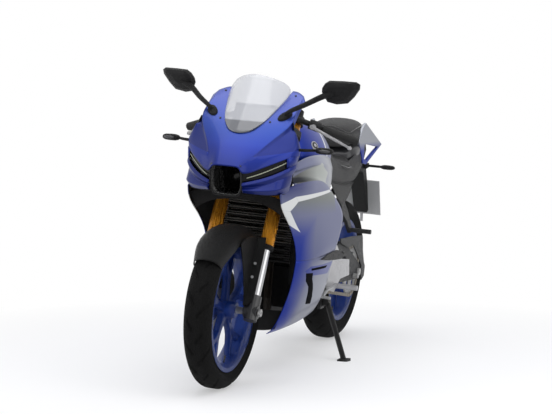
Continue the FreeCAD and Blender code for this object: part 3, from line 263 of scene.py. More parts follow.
# %% Nose and side panels
def nose_paint(name):
    """Deep blue over the lamps, lighter upward with a painted reflection on the upward faces, and a facet
    that widens below each mirror, painted dark as the shade of a face that looks at the ground.
    """
    paint = coated(name)
    across, along, up = paint.axes()
    low = paint.blend(fade(up, 800, 900), DEEP, metallic(paint, BLUE))
    colour = paint.blend(fade(up, 880, 950), low, MIDDLE_BLUE)
    # painted reflection: the top turns lavender for the light that falls on the upward faces
    colour = paint.blend(fade(up, 960, 1070), colour, LAVENDER_REFLECTION)
    # painted shade: the facet faces the ground and is darkened
    facet = inside(along, up, [(-748, 855), (-590, 902), (-596, 992)], 2.0)
    paint.feed(base_color=paint.blend(facet * 0.9, colour, DEEP))
    return paint.material


CHEVRON = [
    [(-748, 676), (-592, 663), (-540, 697), (-564, 716)],
    [(-564, 716), (-540, 697), (-163, 720), (-172, 729)],
    [(-748, 676), (-465, 578), (-592, 663)],
]
CHEVRON_FILL = [(-622, 662), (-535, 590), (-130, 640), (-120, 722), (-535, 700)]
VENT_FRAME = [(-386, 424), (-345, 404), (-140, 396), (-110, 445), (-355, 441)]
SILVER_BELLY = [(-330, 440), (-300, 200), (60, 190), (60, 480), (-230, 470)]


def side_paint(name):
    """Blue at the front edge, slate behind it, the white chevron with its filling, silver low down, and a
    painted shade at the top front, under the nose.
    """
    paint = coated(name)
    across, along, up = paint.axes()
    shade = fade(along - (330 - up).most(0.0) * 0.6, -430, -345)
    colour = paint.blend(shade.most(fade(up, 560, 640)), metallic(paint, BLUE), SLATE)
    # painted shade: the panel's top front, under the nose, is darkened to deep blue
    colour = paint.blend(fade(up, 690, 745) * fade(along, -360, -520), colour, DEEP)
    filled = inside(along, up, CHEVRON_FILL, 3.0) * fade(up + along * 0.03, 630, 690)
    colour = paint.blend(filled, colour, GREEN_GREY)
    white = None
    for outline in CHEVRON:
        part = inside(along, up, outline)
        white = part if white is None else white.most(part)
    colour = paint.blend(white, colour, WHITE)
    silver = inside(along, up, SILVER_BELLY, 90.0)
    colour = paint.blend(silver * 0.7, colour, SILVER)
    colour = paint.blend(inside(along, up, VENT_FRAME, 3.0) * 0.8, colour, metallic(paint, BLUE))
    paint.feed(base_color=colour)
    return paint.material


print("paint of the nose and the side panels ready")

# %% [markdown]
# The other panels need less: a fade or two each, with a stripe on the tank and a hollow in the scoop.

# %% Tank, scoop, tail and wing
SCOOP_HOLLOW = [(-575, 766), (-449, 752), (-191, 748), (-110, 790), (-205, 832), (-334, 810)]


def tank_paint(name):
    """Blue with a narrow white stripe down the flank, and slate behind it."""
    paint = coated(name)
    across, along, up = paint.axes()
    stripe = inside(along, up, [(-58, 800), (-44, 800), (-36, 940), (-50, 940)], 1.5)
    colour = paint.blend(fade(along, -60, -20), metallic(paint, BLUE), SLATE)
    paint.feed(base_color=paint.blend(stripe, colour, WHITE))
    return paint.material


def scoop_paint(name):
    """Slate above; below its edge, a scoop that is light grey at the rear and painted dark at the front end,
    as the shade of its recess.
    """
    paint = coated(name, metallic=0.35)
    across, along, up = paint.axes()
    # painted shade: the front of the scoop is darkened, where its recess lies in shade
    light = paint.blend(fade(along, -440, -240), (0.008, 0.010, 0.009), (0.34, 0.36, 0.34))
    hollow = inside(along, up, SCOOP_HOLLOW, 5.0)
    colour = paint.blend(hollow, paint.blend(fade(along, -330, -80), SLATE, SILVER), light)
    paint.feed(base_color=colour)
    return paint.material


def tail_paint(name):
    """Dark satin under the seats that turns blue behind them."""
    paint = coated(name, metallic=0.3, coat_weight=0.3)
    across, along, up = paint.axes()
    paint.feed(base_color=paint.blend(fade(along, 690, 735), (0.030, 0.030, 0.033), metallic(paint, BLUE)))
    return paint.material


def wing_paint(name):
    """Silver above that turns blue towards the wing's lower strut."""
    paint = coated(name)
    across, along, up = paint.axes()
    paint.feed(base_color=paint.blend(fade(up - along * 0.05, 868, 832), SILVER, metallic(paint, BLUE)))
    return paint.material


cowl_blue = nose_paint("cowl_blue")
side_blue = side_paint("side_blue")
tank_blue = tank_paint("tank_blue")
scoop_silver = scoop_paint("scoop_silver")
tail_dark_blue = tail_paint("tail_dark_blue")
silver_blue = wing_paint("silver_blue")
print("made", cowl_blue.name, side_blue.name, tank_blue.name, scoop_silver.name, silver_blue.name)

# %% [markdown]
# ## The other finishes
# Moulded plastic has a fine grain that softens its gloss. Cast metal is rougher, with slow changes of tone.
# Machined and drawn steel shows lines along one direction, which a noise stretched that way gives.


# %% Plastics, rubber and leather
def grained(name, colour, light, rough, grain=0.9, depth=0.05, **constants):
    """A colour with a slow change of tone and a fine moulded grain."""
    paint = Paint(name, roughness=rough, **constants)
    tone = paint.noise(0.018, 3.0)
    fine = paint.noise(grain, 4.0)
    paint.feed(base_color=paint.blend(tone, colour, light))
    paint.feed(roughness=rough - 0.08 + fine * 0.16)
    paint.bump(fine, depth)
    return paint.material


black_plastic = grained("black_plastic", (0.009, 0.009, 0.010), (0.020, 0.020, 0.022), 0.5,
                        specular_ior_level=0.22)
glossy_black = grained("glossy_black", (0.006, 0.006, 0.007), (0.015, 0.015, 0.017), 0.18, coat_weight=0.5)
tyre_rubber = grained("tyre_rubber", (0.004, 0.004, 0.0045), (0.009, 0.0088, 0.0085), 0.8, 0.25, 0.2,
                      specular_ior_level=0.15)
grip_rubber = grained("grip_rubber", (0.012, 0.012, 0.012), (0.028, 0.028, 0.028), 0.6, 0.6, 0.2)
seat_leather = grained("seat_leather", (0.040, 0.040, 0.042), (0.062, 0.062, 0.065), 0.5, 0.35, 0.3)
dark_satin = grained("dark_satin", (0.024, 0.024, 0.026), (0.038, 0.038, 0.041), 0.46, 1.2, 0.03,
                     specular_ior_level=0.3)
silver_panel = grained("silver_panel", (0.42, 0.42, 0.44), (0.52, 0.52, 0.54), 0.36, 1.2, 0.02, metallic=0.5,
                       coat_weight=0.8)
green_grey = grained("green_grey", (0.085, 0.098, 0.092), (0.12, 0.135, 0.13), 0.4, 1.2, 0.02)
fender_black = grained("fender_black", (0.004, 0.004, 0.0045), (0.009, 0.009, 0.010), 0.36, 1.4, 0.02,
                       specular_ior_level=0.25)
vent_black = grained("vent_black", (0.003, 0.003, 0.004), (0.006, 0.006, 0.007), 0.85, 0.9, 0.0,
                     specular_ior_level=0.03)
plate_blank = grained("plate_blank", (0.86, 0.87, 0.88), (0.92, 0.93, 0.94), 0.4, 0.3, 0.05)
print("plastics, rubber and leather ready")


# %% Metals
def cast(name, colour, light, rough, metallic_share=0.9, **constants):
    paint = Paint(name, metallic=metallic_share, roughness=rough, **constants)
    tone = paint.noise(0.03, 4.0)
    fine = paint.noise(0.5, 4.0)
    paint.feed(base_color=paint.blend(tone, colour, light))
    paint.feed(roughness=rough - 0.1 + tone * 0.2)
    paint.bump(fine, 0.15)
    return paint.material


def drawn(name, colour, light, rough, stretch, **constants):
    """Metal with fine lines along the axis whose share in stretch is least."""
    paint = Paint(name, metallic=1.0, roughness=rough, **constants)
    lines = paint.noise(1.0, 3.0, 0.6, stretch)
    paint.feed(base_color=paint.blend(lines, colour, light))
    paint.feed(roughness=rough - 0.08 + lines * 0.16)
    paint.bump(lines, 0.03)
    return paint.material


engine_cast = cast("engine_cast", (0.035, 0.035, 0.038), (0.07, 0.07, 0.073), 0.45, 0.6)
bright_cast = cast("bright_cast", (0.50, 0.50, 0.52), (0.68, 0.68, 0.70), 0.35)
grey_cast = cast("grey_cast", (0.036, 0.037, 0.040), (0.062, 0.064, 0.067), 0.45, 0.6)
black_paint = cast("black_paint", (0.006, 0.006, 0.007), (0.016, 0.016, 0.017), 0.42, 0.2)
print("cast and drawn metal ready")

# %% [markdown]
# Two finishes change along their part. The fork's legs are bright above a height along the fork and black
# below it, and the radiator's fins are light and dark lines. The fork's direction comes from the steering
# joint.

# %% Fork legs, radiator and the other metals
UP_LINE = (BACK.to_3x3() @ Vector(joints["steering"]["axis"])).normalized()


def two_tone(name, split, below, above):
    """Bright metal above a height along the fork, and another colour below it."""
    paint = Paint(name, coat_weight=0.1)
    across, along, up = paint.axes()
    height = (along - FRONT_AXLE.y) * UP_LINE.y + (up - FRONT_AXLE.z) * UP_LINE.z
    high = fade(height, split - 0.5, split + 0.5)
    tone = paint.noise(1.0, 3.0, 0.6, (1.0, 0.05, 0.05))
    paint.feed(base_color=paint.blend(high, below, paint.blend(tone, above, tuple(c * 1.15 for c in above))))
    paint.feed(metallic=high, roughness=0.42 - high * 0.28)
    return paint.material


def finned(name, dark, light, pitch, foot):
    """Thin level fins, one light and one dark line to each pitch, and dark below the foot."""
    paint = Paint(name, metallic=0.3, roughness=0.5)
    across, along, up = paint.axes()
    wave = paint.sum("PINGPONG", up, pitch / 2) / (pitch / 2)
    paint.feed(base_color=paint.blend(fade(wave, 0.35, 0.65) * fade(up, foot - 2, foot + 2), dark, light))
    paint.bump(wave, 0.5)
    return paint.material


gold = drawn("fork_gold", (0.50, 0.19, 0.012), (0.62, 0.27, 0.03), 0.30, (0.3, 0.02, 0.02))
chrome = two_tone("fork_chrome", 62, (0.010, 0.010, 0.011), (0.34, 0.34, 0.35))
radiator_fins = finned("radiator_fins", (0.016, 0.015, 0.014), (0.19, 0.175, 0.155), 9.0, 524)
disc_steel = drawn("disc_steel", (0.42, 0.42, 0.43), (0.58, 0.58, 0.59), 0.30, (0.2, 0.9, 0.9))
axle_steel = drawn("axle_steel", (0.45, 0.45, 0.45), (0.60, 0.60, 0.60), 0.35, (0.1, 1.0, 1.0))
chain_steel = cast("chain_steel", (0.20, 0.17, 0.13), (0.36, 0.33, 0.28), 0.42)
burnt_steel = cast("burnt_steel", (0.035, 0.030, 0.026), (0.085, 0.070, 0.058), 0.4)
wheel_blue = cast("wheel_blue", (0.003, 0.038, 0.28), (0.008, 0.065, 0.42), 0.32, 0.5, coat_weight=0.3)
print("metals ready; the fork runs along", [round(c, 4) for c in UP_LINE])


# %% Clear parts
def clear(name, colour, alpha, rough, **constants):
    paint = Paint(name, roughness=rough, alpha=alpha, coat_weight=0.12, **constants)
    paint.feed(base_color=paint.blend(paint.noise(0.01, 2.0), colour, tuple(c * 1.15 for c in colour)))
    return paint.material


def screen_paint(name):
    """Grey and clear, with a darker foot that hides the meter."""
    paint = Paint(name, roughness=0.08, coat_weight=0.4)
    across, along, up = paint.axes()
    foot = fade(up, 984, 978)
    paint.feed(base_color=paint.blend(foot, (0.58, 0.59, 0.62), (0.16, 0.165, 0.18)),
               alpha=0.58 + foot * 0.28)
    return paint.material


smoke_screen = screen_paint("smoke_screen")
signal_lens = clear("signal_lens", (0.045, 0.045, 0.048), 1.0, 0.15, specular_ior_level=0.25)
lamp_lens = clear("lamp_lens", (0.004, 0.004, 0.005), 1.0, 0.10, specular_ior_level=0.10)
tail_lens = clear("tail_lens", (0.35, 0.008, 0.01), 1.0, 0.12)
# a pale line: partly the light guide's own colour, partly a painted reflection
lamp_guide_and_reflection = clear("lamp_guide_and_reflection", (0.30, 0.32, 0.24), 1.0, 0.2)
mirror_glass = drawn("mirror_glass", (0.80, 0.81, 0.82), (0.86, 0.87, 0.88), 0.10, (0.01, 0.01, 0.01))
print("clear parts ready")

# %% [markdown]
# ## Solids that keep their CAD shape
# Frame, engine, chain and the other mechanical parts have the right shape already. They only need a
# material.

# %% Dress the mechanical solids
DRESS = {
    black_paint: ("frame", "subframe", "pivot_plates", "rear_shock", "clip_ons", "front_caliper",
                  "rear_caliper", "side_stand"),
    engine_cast: ("engine",),
    black_plastic: ("dash", "plate_holder", "intake_duct", "mirrors", "front_fender"),
    grey_cast: ("swingarm", "swingarm_left", "swingarm_right", "passenger_hangers", "triple_clamps"),
    bright_cast: ("footpegs", "levers", "fuel_cap"),
    gold: ("fork_outers",),
    chrome: ("fork_legs",),
    burnt_steel: ("exhaust_header",),
    dark_satin: ("muffler", "tail_cowl"),
    disc_steel: ("front_disc", "rear_disc", "rear_sprocket"),
    axle_steel: ("front_axle", "rear_axle", "stand_spools"),
    radiator_fins: ("radiator",),
    chain_steel: ("chain",),
    grip_rubber: ("grips",),
    lamp_lens: ("headlamps",),
    tail_lens: ("tail_light",),
    signal_lens: ("turn_signals",),
    plate_blank: ("number_plate",),
    silver_panel: ("tank_sides",),
    wheel_blue: ("front_rim", "rear_rim"),
    tyre_rubber: ("front_tyre", "rear_tyre"),
    seat_leather: ("rider_seat", "pillion_seat"),
    smoke_screen: ("windscreen",),
    cowl_blue: ("front_cowl", "fuel_tank"),
    side_blue: ("side_cowl_left", "side_cowl_right", "lower_cowl_left", "lower_cowl_right"),
}


def dress(node, material):
    mesh = nodes[node].data
    mesh.materials.clear()
    mesh.materials.append(material)


for material, names in DRESS.items():
    for name in names:
        dress(name, material)
print("dressed", sum(len(names) for names in DRESS.values()), "of", len(nodes))

# %% [markdown]
# ## Mesh helpers
# Bodywork is pressed or moulded in one smooth sheet with a few sharp lines. A coarse grid of points through
# those lines, softened by subdivision, gives the same: edges marked with a crease stay sharp. Thickness
# comes last.


# %% A mesh piece from upright points
def add_piece(name, points, faces, material, body, slot, stands_for=(), outward=None, sharp=()):
    """A smooth mesh given in upright millimetres; outward is a point that its faces look away from."""
    mesh = bpy.data.meshes.new(name)
    shape = bmesh.new()
    corners = [shape.verts.new(PLACE @ Vector(point)) for point in points]
    for face in faces:
        shape.faces.new([corners[k] for k in face])
    bmesh.ops.remove_doubles(shape, verts=shape.verts, dist=0.00004)
    bmesh.ops.recalc_face_normals(shape, faces=shape.faces)
    if outward is not None:
        middle = PLACE @ Vector(outward)
        leaning = sum(f.normal.dot(f.calc_center_median() - middle) * f.calc_area() for f in shape.faces)
        if leaning < 0:
            bmesh.ops.reverse_faces(shape, faces=shape.faces)
    crease = shape.edges.layers.float.new("crease_edge")
    lines = [[PLACE @ Vector(point) for point in line] for line in sharp]
    for edge in shape.edges:
        if edge.is_boundary or any(lies_on(edge, line) for line in lines):
            edge[crease] = 1.0
    shape.to_mesh(mesh)
    shape.free()
    mesh.materials.append(material)
    mesh.shade_smooth()
    made = bpy.data.objects.new(name, mesh)
    bpy.context.scene.collection.objects.link(made)
    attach(made, body)
    if stands_for:
        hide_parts(*stands_for)
    return made


def lies_on(edge, line):
    """Whether both ends of an edge are neighbouring points of a line."""
    ends = [vert.co for vert in edge.verts]
    for one, two in zip(line, line[1:]):
        for a, b in ((one, two), (two, one)):
            if (ends[0] - a).length < 1e-4 and (ends[1] - b).length < 1e-4:
                return True
    return False


print("pieces can be added")

# %% [markdown]
# Shapes are handed over as points and faces. They can be merged, and given again at the other side of the
# machine.


# %% Sheets and their mirror images
def grid(rows):
    """Points and faces of a sheet through rows of as many points each."""
    wide = len(rows[0])
    faces = []
    for r in range(len(rows) - 1):
        for c in range(wide - 1):
            k = r * wide + c
            faces.append((k, k + 1, k + 1 + wide, k + wide))
    return [point for row in rows for point in row], faces


def merged(*shapes):
    points = []
    faces = []
    for more, sheet in shapes:
        faces += [tuple(k + len(points) for k in face) for face in sheet]
        points += more
    return points, faces


def joined(*grids):
    return merged(*[grid(rows) for rows in grids])


def flip(point):
    return (-point[0], point[1], point[2])


def pair(shape):
    """A shape and its mirror image at the other side."""
    points, faces = shape
    return merged(shape, ([flip(p) for p in points], [tuple(reversed(f)) for f in faces]))


def both_lines(lines):
    """Creased lines of the left side, and the same at the right."""
    return lines + [[flip(p) for p in line] for line in lines]


print("sheets ready")

# %% [markdown]
# Modifiers finish a piece: subdivision, thickness and rounded edges.


# %% Modifiers
def modify(piece, kind, **settings):
    made = piece.modifiers.new(kind.lower(), kind)
    for key, value in settings.items():
        setattr(made, key, value)
    return made


def sheet_metal(piece, levels=3, thickness=3.0, inner=black_plastic):
    """Subdivision for the curve and Solidify for the thickness; the inside face is left unpainted."""
    modify(piece, "SUBSURF", levels=levels, render_levels=levels)
    if inner:
        piece.data.materials.append(inner)
    modify(piece, "SOLIDIFY", thickness=thickness / 1000, offset=-1.0, material_offset=1 if inner else 0)
    return piece


def soft(piece, levels=2):
    modify(piece, "SUBSURF", levels=levels, render_levels=levels)
    return piece


def rounded(piece, width, segments=2, angle=40):
    modify(piece, "BEVEL", width=width / 1000, segments=segments, limit_method="ANGLE",
           angle_limit=math.radians(angle), harden_normals=True)
    return piece


print("modifiers ready")

# %% [markdown]
# Bars, plates and hollow bodies are lofts: a surface through one closed section after another.


# %% Lofts, bars and plates
def loft_faces(sections, caps=True):
    """Points and faces through sections of as many points each, closed round each section."""
    points = [point for section in sections for point in section]
    wide = len(sections[0])
    faces = []
    for s in range(len(sections) - 1):
        for c in range(wide):
            n = (c + 1) % wide
            faces.append((s * wide + c, s * wide + n, (s + 1) * wide + n, (s + 1) * wide + c))
    if caps:
        faces.append(tuple(reversed(range(wide))))
        last = (len(sections) - 1) * wide
        faces.append(tuple(last + c for c in range(wide)))
    return points, faces


def tube_faces(points, radius, sides=12, end_radius=None):
    """A round bar along points, with its rings square to the line."""
    line = [Vector(p) for p in points]
    side = None
    sections = []
    for k, point in enumerate(line):
        ahead = (line[min(k + 1, len(line) - 1)] - line[max(k - 1, 0)]).normalized()
        if side is None:
            side = ahead.orthogonal()
        side = (side - ahead * side.dot(ahead)).normalized()
        other = ahead.cross(side)
        share = k / (len(line) - 1)
        size = radius + ((end_radius or radius) - radius) * share
        ring = []
        for j in range(sides):
            turn = 2 * math.pi * j / sides
            ring.append(tuple(point + (side * math.cos(turn) + other * math.sin(turn)) * size))
        sections.append(ring)
    return loft_faces(sections)


def bend(points, steps=6):
    """A smooth line through given points (a Catmull-Rom curve)."""
    p = [Vector(q) for q in points]
    p = [p[0] * 2 - p[1]] + p + [p[-1] * 2 - p[-2]]
    line = []
    for k in range(1, len(p) - 2):
        for s in range(steps):
            t = s / steps
            a, b, c, d = p[k - 1:k + 3]
            line.append(0.5 * (2 * b + (c - a) * t + (2 * a - 5 * b + 4 * c - d) * t * t
                               + (3 * b - a - 3 * c + d) * t ** 3))
    return line + [p[-2]]


def plate_faces(outline, low, high):
    """An outline in (y, z) with its thickness across."""
    return loft_faces([[(low, y, z) for y, z in outline], [(high, y, z) for y, z in outline]])


print("lofts, bars and plates ready")

# %% [markdown]
# ## Nose
# The nose is one deep pressing. From the brow over the lamps it sweeps back to the screen. A narrow facet,
# whose paint is darkened as painted shade because it faces the ground, starts beside the nose and widens
# below each mirror. Its two edges are creased rows.

# %% Nose
NOSE_ROWS = [
    [(0, -802, 819), (28, -801, 819), (54, -798, 818), (62, -794, 791), (90, -773, 801), (90, -773, 801),
     (148, -719, 833), (208, -653, 868), (214, -612, 866)],
    [(0, -776, 848), (26, -775, 849), (50, -770, 851), (70, -762, 848), (88, -744, 857), (88, -744, 857),
     (148, -706, 866), (209, -650, 884), (217, -612, 880)],
    [(0, -730, 893), (26, -729, 894), (54, -721, 898), (92, -704, 903), (120, -690, 906), (121, -691, 897),
     (166, -668, 893), (219, -640, 896), (218, -612, 893)],
    [(0, -681, 938), (24, -678, 940), (48, -670, 946), (104, -664, 946), (152, -648, 947), (152, -651, 930),
     (180, -640, 925), (204, -630, 924), (208, -614, 924)],
]
NOSE_CHEEK = [
    NOSE_ROWS[3][2:],
    [(84, -618, 990), (134, -612, 992), (183, -604, 988), (180, -606, 962),
     (188, -612, 957), (193, -618, 953), (194, -616, 952)],
]
NOSE_SHOULDER = [
    NOSE_CHEEK[1][:4],
    [(98, -545, 1038), (136, -545, 1043), (170, -556, 1040), (182, -552, 1024)],
    [(118, -450, 1100), (140, -449, 1099), (168, -470, 1084), (183, -492, 1064)],
]
points, faces = pair(joined(NOSE_ROWS, NOSE_CHEEK, NOSE_SHOULDER))
upper_edge = [row[4] for row in NOSE_ROWS] + [NOSE_CHEEK[1][2], NOSE_SHOULDER[1][2], NOSE_SHOULDER[2][2]]
lower_edge = [row[5] for row in NOSE_ROWS] + [NOSE_CHEEK[1][3]]
nose = add_piece("nose_shell", points, faces, cowl_blue, "chassis", "blue_paint", ("front_cowl",),
                 (0, -480, 900), both_lines([upper_edge, lower_edge]))
sheet_metal(nose)
print("nose", len(points), "points")

# %% Lip and winglet under the lamps
LIP_ROWS = [
    [(63, -783, 762), (110, -752, 776), (160, -706, 798), (206, -652, 832), (210, -618, 838)],
    [(64, -788, 752), (112, -760, 764), (162, -716, 786), (206, -660, 818), (210, -620, 822)],
    [(64, -776, 744), (110, -748, 750), (152, -716, 766), (190, -672, 792), (200, -628, 800)],
    [(66, -784, 736), (114, -760, 736), (160, -728, 740), (192, -694, 750), (196, -630, 762)],
    [(64, -770, 726), (110, -744, 722), (152, -712, 722), (184, -676, 728), (190, -626, 738)],
]
lip = add_piece("lamp_lip", *pair(grid(LIP_ROWS)), cowl_blue, "chassis", "blue_paint", (), (0, -480, 760),
                both_lines(LIP_ROWS[1:4]))
sheet_metal(lip)
EAR_ROWS = [
    [(190, -674, 857), (208, -653, 868), (214, -612, 866)],
    [(190, -671, 822), (206, -652, 832), (210, -618, 838)],
]
ear = add_piece("lamp_ears", *pair(grid(EAR_ROWS)), cowl_blue, "chassis", "blue_paint", (), (0, -480, 840))
sheet_metal(ear, 1)
print("lip and ears")

# %% [markdown]
# Black liners close the view between the lip, the side panels and the radiator. A black pan across the
# belly's front hides the header's low part and stands in for the shade there.

# %% Liners
LINER_ROWS = [
    [(60, -760, 722), (110, -740, 720), (160, -705, 723), (186, -672, 730)],
    [(60, -640, 716), (110, -638, 716), (160, -630, 720), (186, -618, 730)],
]
SIDE_LINER = [
    [(181, -686, 726), (182, -668, 672), (178, -526, 600),
     (180, -446, 515), (182, -441, 466), (167, -421, 370)],
    [(150, -418, 726), (150, -412, 672), (150, -414, 600),
     (150, -418, 515), (150, -420, 466), (146, -405, 370)],
]
APRON_ROWS = [
    [(0, -640, 722), (90, -646, 721), (150, -660, 716), (180, -668, 704)],
    [(0, -620, 694), (80, -624, 688), (132, -624, 668), (174, -606, 640)],
]
EDGE_ROWS = [
    [(172, -650, 792), (172, -540, 800)],
    [(172, -650, 728), (172, -540, 728)],
]
# painted shade: a black sheet across the belly's front, put where the header lies in shade
SHADE_PAN_ROWS = [
    [(137, -402, 266), (70, -394, 260), (0, -392, 258)],
    [(102, -396, 190), (60, -388, 178), (0, -386, 174)],
]
liners = add_piece("inner_liners", *pair(joined(LINER_ROWS, SIDE_LINER, APRON_ROWS, EDGE_ROWS, SHADE_PAN_ROWS)),
                   black_plastic, "chassis", "black_plastic")
sheet_metal(liners, 1, 2.0, None)
print("liners")

# %% [markdown]
# ## Windscreen
# A sheet of smoked plastic, bowed across and blown a little forward. Its foot is printed darker, to hide
# the meter.

# %% Windscreen
SCREEN_ROWS = [
    ((-683, 936), (42, -671, 947)),
    ((-660, 970), (78, -636, 976)),
    ((-620, 1030), (103, -551, 1036)),
    ((-577, 1098), (129, -450, 1101)),
    ((-540, 1152), (93, -484, 1129)),
]
SCREEN_LIFT = 6.0


def screen_row(centre, side, steps=8):
    row = []
    for k in range(steps + 1):
        share = 2 * k / steps - 1
        bow = share * share
        row.append((side[0] * share, centre[0] - SCREEN_LIFT + (side[1] - centre[0]) * bow,
                    centre[1] + (side[2] - centre[1]) * bow))
    return row


screen = add_piece("screen_sheet", *grid([screen_row(*row) for row in SCREEN_ROWS]), smoke_screen, "chassis",
                   "smoke_screen", ("windscreen",), (0, -400, 1000))
sheet_metal(screen, 2, 2.5, None)

# %% [markdown]
# ## Side bodywork
# Each side has an upper panel and a belly panel below it. Both are gently bulged sheets whose front edge
# turns in towards the radiator. The belly panel has two slots that let hot air out.

# %% Side panels
SIDE_ROWS = [
    [(180, -690, 727), (192, -620, 755), (202, -540, 766),
     (210, -400, 772), (208, -262, 768), (203, -158, 736)],
    [(181, -672, 672), (196, -610, 680), (206, -530, 690),
     (217, -400, 700), (220, -240, 700), (225, -77, 672)],
    [(178, -530, 600), (196, -480, 600), (209, -420, 602),
     (226, -300, 606), (232, -160, 615), (236, -24, 625)],
    [(180, -450, 515), (198, -420, 518), (212, -375, 522),
     (230, -290, 530), (238, -180, 545), (240, -66, 558)],
    [(182, -445, 466), (200, -420, 467), (214, -380, 468),
     (232, -320, 472), (240, -240, 479), (242, -132, 491)],
]
BELLY_ROWS = [
    [(x, y, z - 0.6) for x, y, z in SIDE_ROWS[-1]],
    [(168, -425, 370), (186, -400, 370), (200, -365, 370),
     (214, -280, 372), (218, -180, 375), (214, -92, 380)],
    [(136, -410, 273), (154, -385, 272), (167, -345, 272),
     (180, -260, 272), (183, -150, 274), (178, -56, 276)],
    [(100, -403, 186), (112, -370, 186), (122, -325, 186),
     (130, -230, 187), (132, -120, 190), (126, -20, 196)],
    [(66, -376, 164), (66, -350, 163), (64, -312, 161), (56, -230, 158), (48, -120, 157), (44, -66, 158)],
]
panels_left = []
for side, name in ((1, "left"), (-1, "right")):
    for label, rows in (("side", SIDE_ROWS), ("belly", BELLY_ROWS)):
        placed = [[(x * side, y, z) for x, y, z in row] for row in rows]
        stands = ("side_cowl_" if label == "side" else "lower_cowl_") + name
        panel = add_piece(label + "_panel_" + name, *grid(placed), side_blue, "chassis", "blue_paint",
                          (stands,), (0, -250, 500))
        sheet_metal(panel)
        panels_left += [panel] if side > 0 else []
print("side panels")

# %% [markdown]
# A slot's rim has to follow the panel's curve. Looking at the panel from the left, a ray finds how far out
# the panel lies at each point of the slot's outline.


# %% Slots and fins on the panels
def surface_finder(pieces):
    """A function that gives the x of the outside at (y, z), in upright millimetres."""
    graph = bpy.context.evaluated_depsgraph_get()
    trees = []
    for piece in pieces:
        shape = piece.evaluated_get(graph)
        mesh = shape.to_mesh()
        corners = [BACK @ vert.co for vert in mesh.vertices]
        trees.append(BVHTree.FromPolygons(corners, [tuple(face.vertices) for face in mesh.polygons]))
        shape.to_mesh_clear()

    def find(y, z):
        hits = [tree.ray_cast(Vector((500, y, z)), Vector((-1, 0, 0)))[0] for tree in trees]
        return max(hit.x for hit in hits if hit is not None)

    return find


def draped(find, front, rear, steps=4, proud=0.9):
    """Rows of points a little proud of the panel, between a front and a rear line in (y, z)."""
    rows = []
    for (y, z), (v, w) in zip(front, rear):
        row = [(y + (v - y) * k / steps, z + (w - z) * k / steps) for k in range(steps + 1)]
        rows.append([(find(a, b) + proud, a, b) for a, b in row])
    return rows


side_x = surface_finder(panels_left)
VENT_FRONT = [(-375, 415), (-357, 382), (-320, 358), (-302, 334), (-285, 304), (-268, 282)]
VENT_REAR = [(-323, 413), (-312, 390), (-286, 366), (-264, 343), (-232, 308), (-209, 278)]
SLOT_TOP = [(-344, 432), (-300, 434), (-240, 434), (-184, 433)]
SLOT_FOOT = [(-340, 424), (-300, 424), (-244, 424), (-200, 424)]
vents = joined(draped(side_x, VENT_FRONT, VENT_REAR), draped(side_x, SLOT_TOP, SLOT_FOOT, 2))
slots = add_piece("panel_slots", *pair(vents), vent_black, "chassis", "black_plastic", (), (0, -300, 400))
modify(slots, "SOLIDIFY", thickness=0.002, offset=-1.0)
FIN_LINE = [(-300, 466), (-230, 482), (-140, 489), (-84, 486), (26, 455),
            (-40, 447), (-110, 449), (-200, 455), (-270, 461)]
fin = loft_faces([[(x, y, z) for y, z in FIN_LINE] for x in (231, 244)])
fins = add_piece("panel_fins", *pair(fin), dark_satin, "chassis", "dark_panel")
rounded(fins, 3)
print("slots and fins")

# %% [markdown]
# ## Rounded and turned shapes
# Four more helpers make what the smaller pieces need: an oval button, a body through oval rings, a turned
# ring, and a frame with a hole, such as a wing or the mouth of a duct.


# %% Rounded and turned shapes
def oval(centre, one, two, steps=16):
    """A ring of points round a centre; one and two are its half axes as vectors."""
    centre = Vector(centre)
    one = Vector(one)
    two = Vector(two)
    ring = []
    for k in range(steps):
        turn = 2 * math.pi * k / steps
        ring.append(tuple(centre + one * math.cos(turn) + two * math.sin(turn)))
    return ring


def button(centre, outward, along, long, wide, height, steps=16):
    """A rounded oval cap that stands on a surface."""
    out = Vector(outward).normalized()
    one = (Vector(along) - out * Vector(along).dot(out)).normalized()
    two = out.cross(one)
    sections = []
    for rise, share in ((-0.6, 1.0), (0.0, 1.0), (0.55, 0.96), (0.85, 0.8), (1.0, 0.45)):
        middle = Vector(centre) + out * height * rise
        sections.append(oval(middle, one * long * share, two * wide * share, steps))
    return loft_faces(sections)


def wheel_ring(hub, profile, steps, turn_by=lambda k, x, r: (x, r)):
    """A closed profile of (x, radius) turned about an axle; turn_by may shift a point from step to step."""
    sections = []
    for k in range(steps):
        turn = 2 * math.pi * k / steps
        row = [turn_by(k, x, r) for x, r in profile]
        sections.append([(hub.x + x, hub.y + r * math.sin(turn), hub.z + r * math.cos(turn)) for x, r in row])
    return loft_faces(sections + sections[:1], caps=False)


def framed(outer, inner, shift):
    """A plate with a hole, between matched outlines, as thick as the shift."""
    moved = [[tuple(Vector(p) + Vector(shift)) for p in line] for line in (outer, inner)]
    return loft_faces([outer, moved[0], moved[1], inner, outer], caps=False)


print("rounded shapes ready")

# %% [markdown]
# ## Mirrors
# A mirror is a swept-back shell on a short stalk. The stalk leaves an oval foot on the cowl's shoulder.
# The shell is deepest in its middle and its open side holds the glass.

# %% Mirrors
MIRROR_OUTLINE = [(250, 1104), (252, 1120), (264, 1138), (281, 1149), (330, 1151), (376, 1151), (389, 1143),
                  (387, 1126), (366, 1096), (341, 1071), (300, 1064), (268, 1070)]
MIRROR_MIDDLE = Vector((322, 0, 1110))
GLASS_CORNER = Vector((281, -527, 1149))


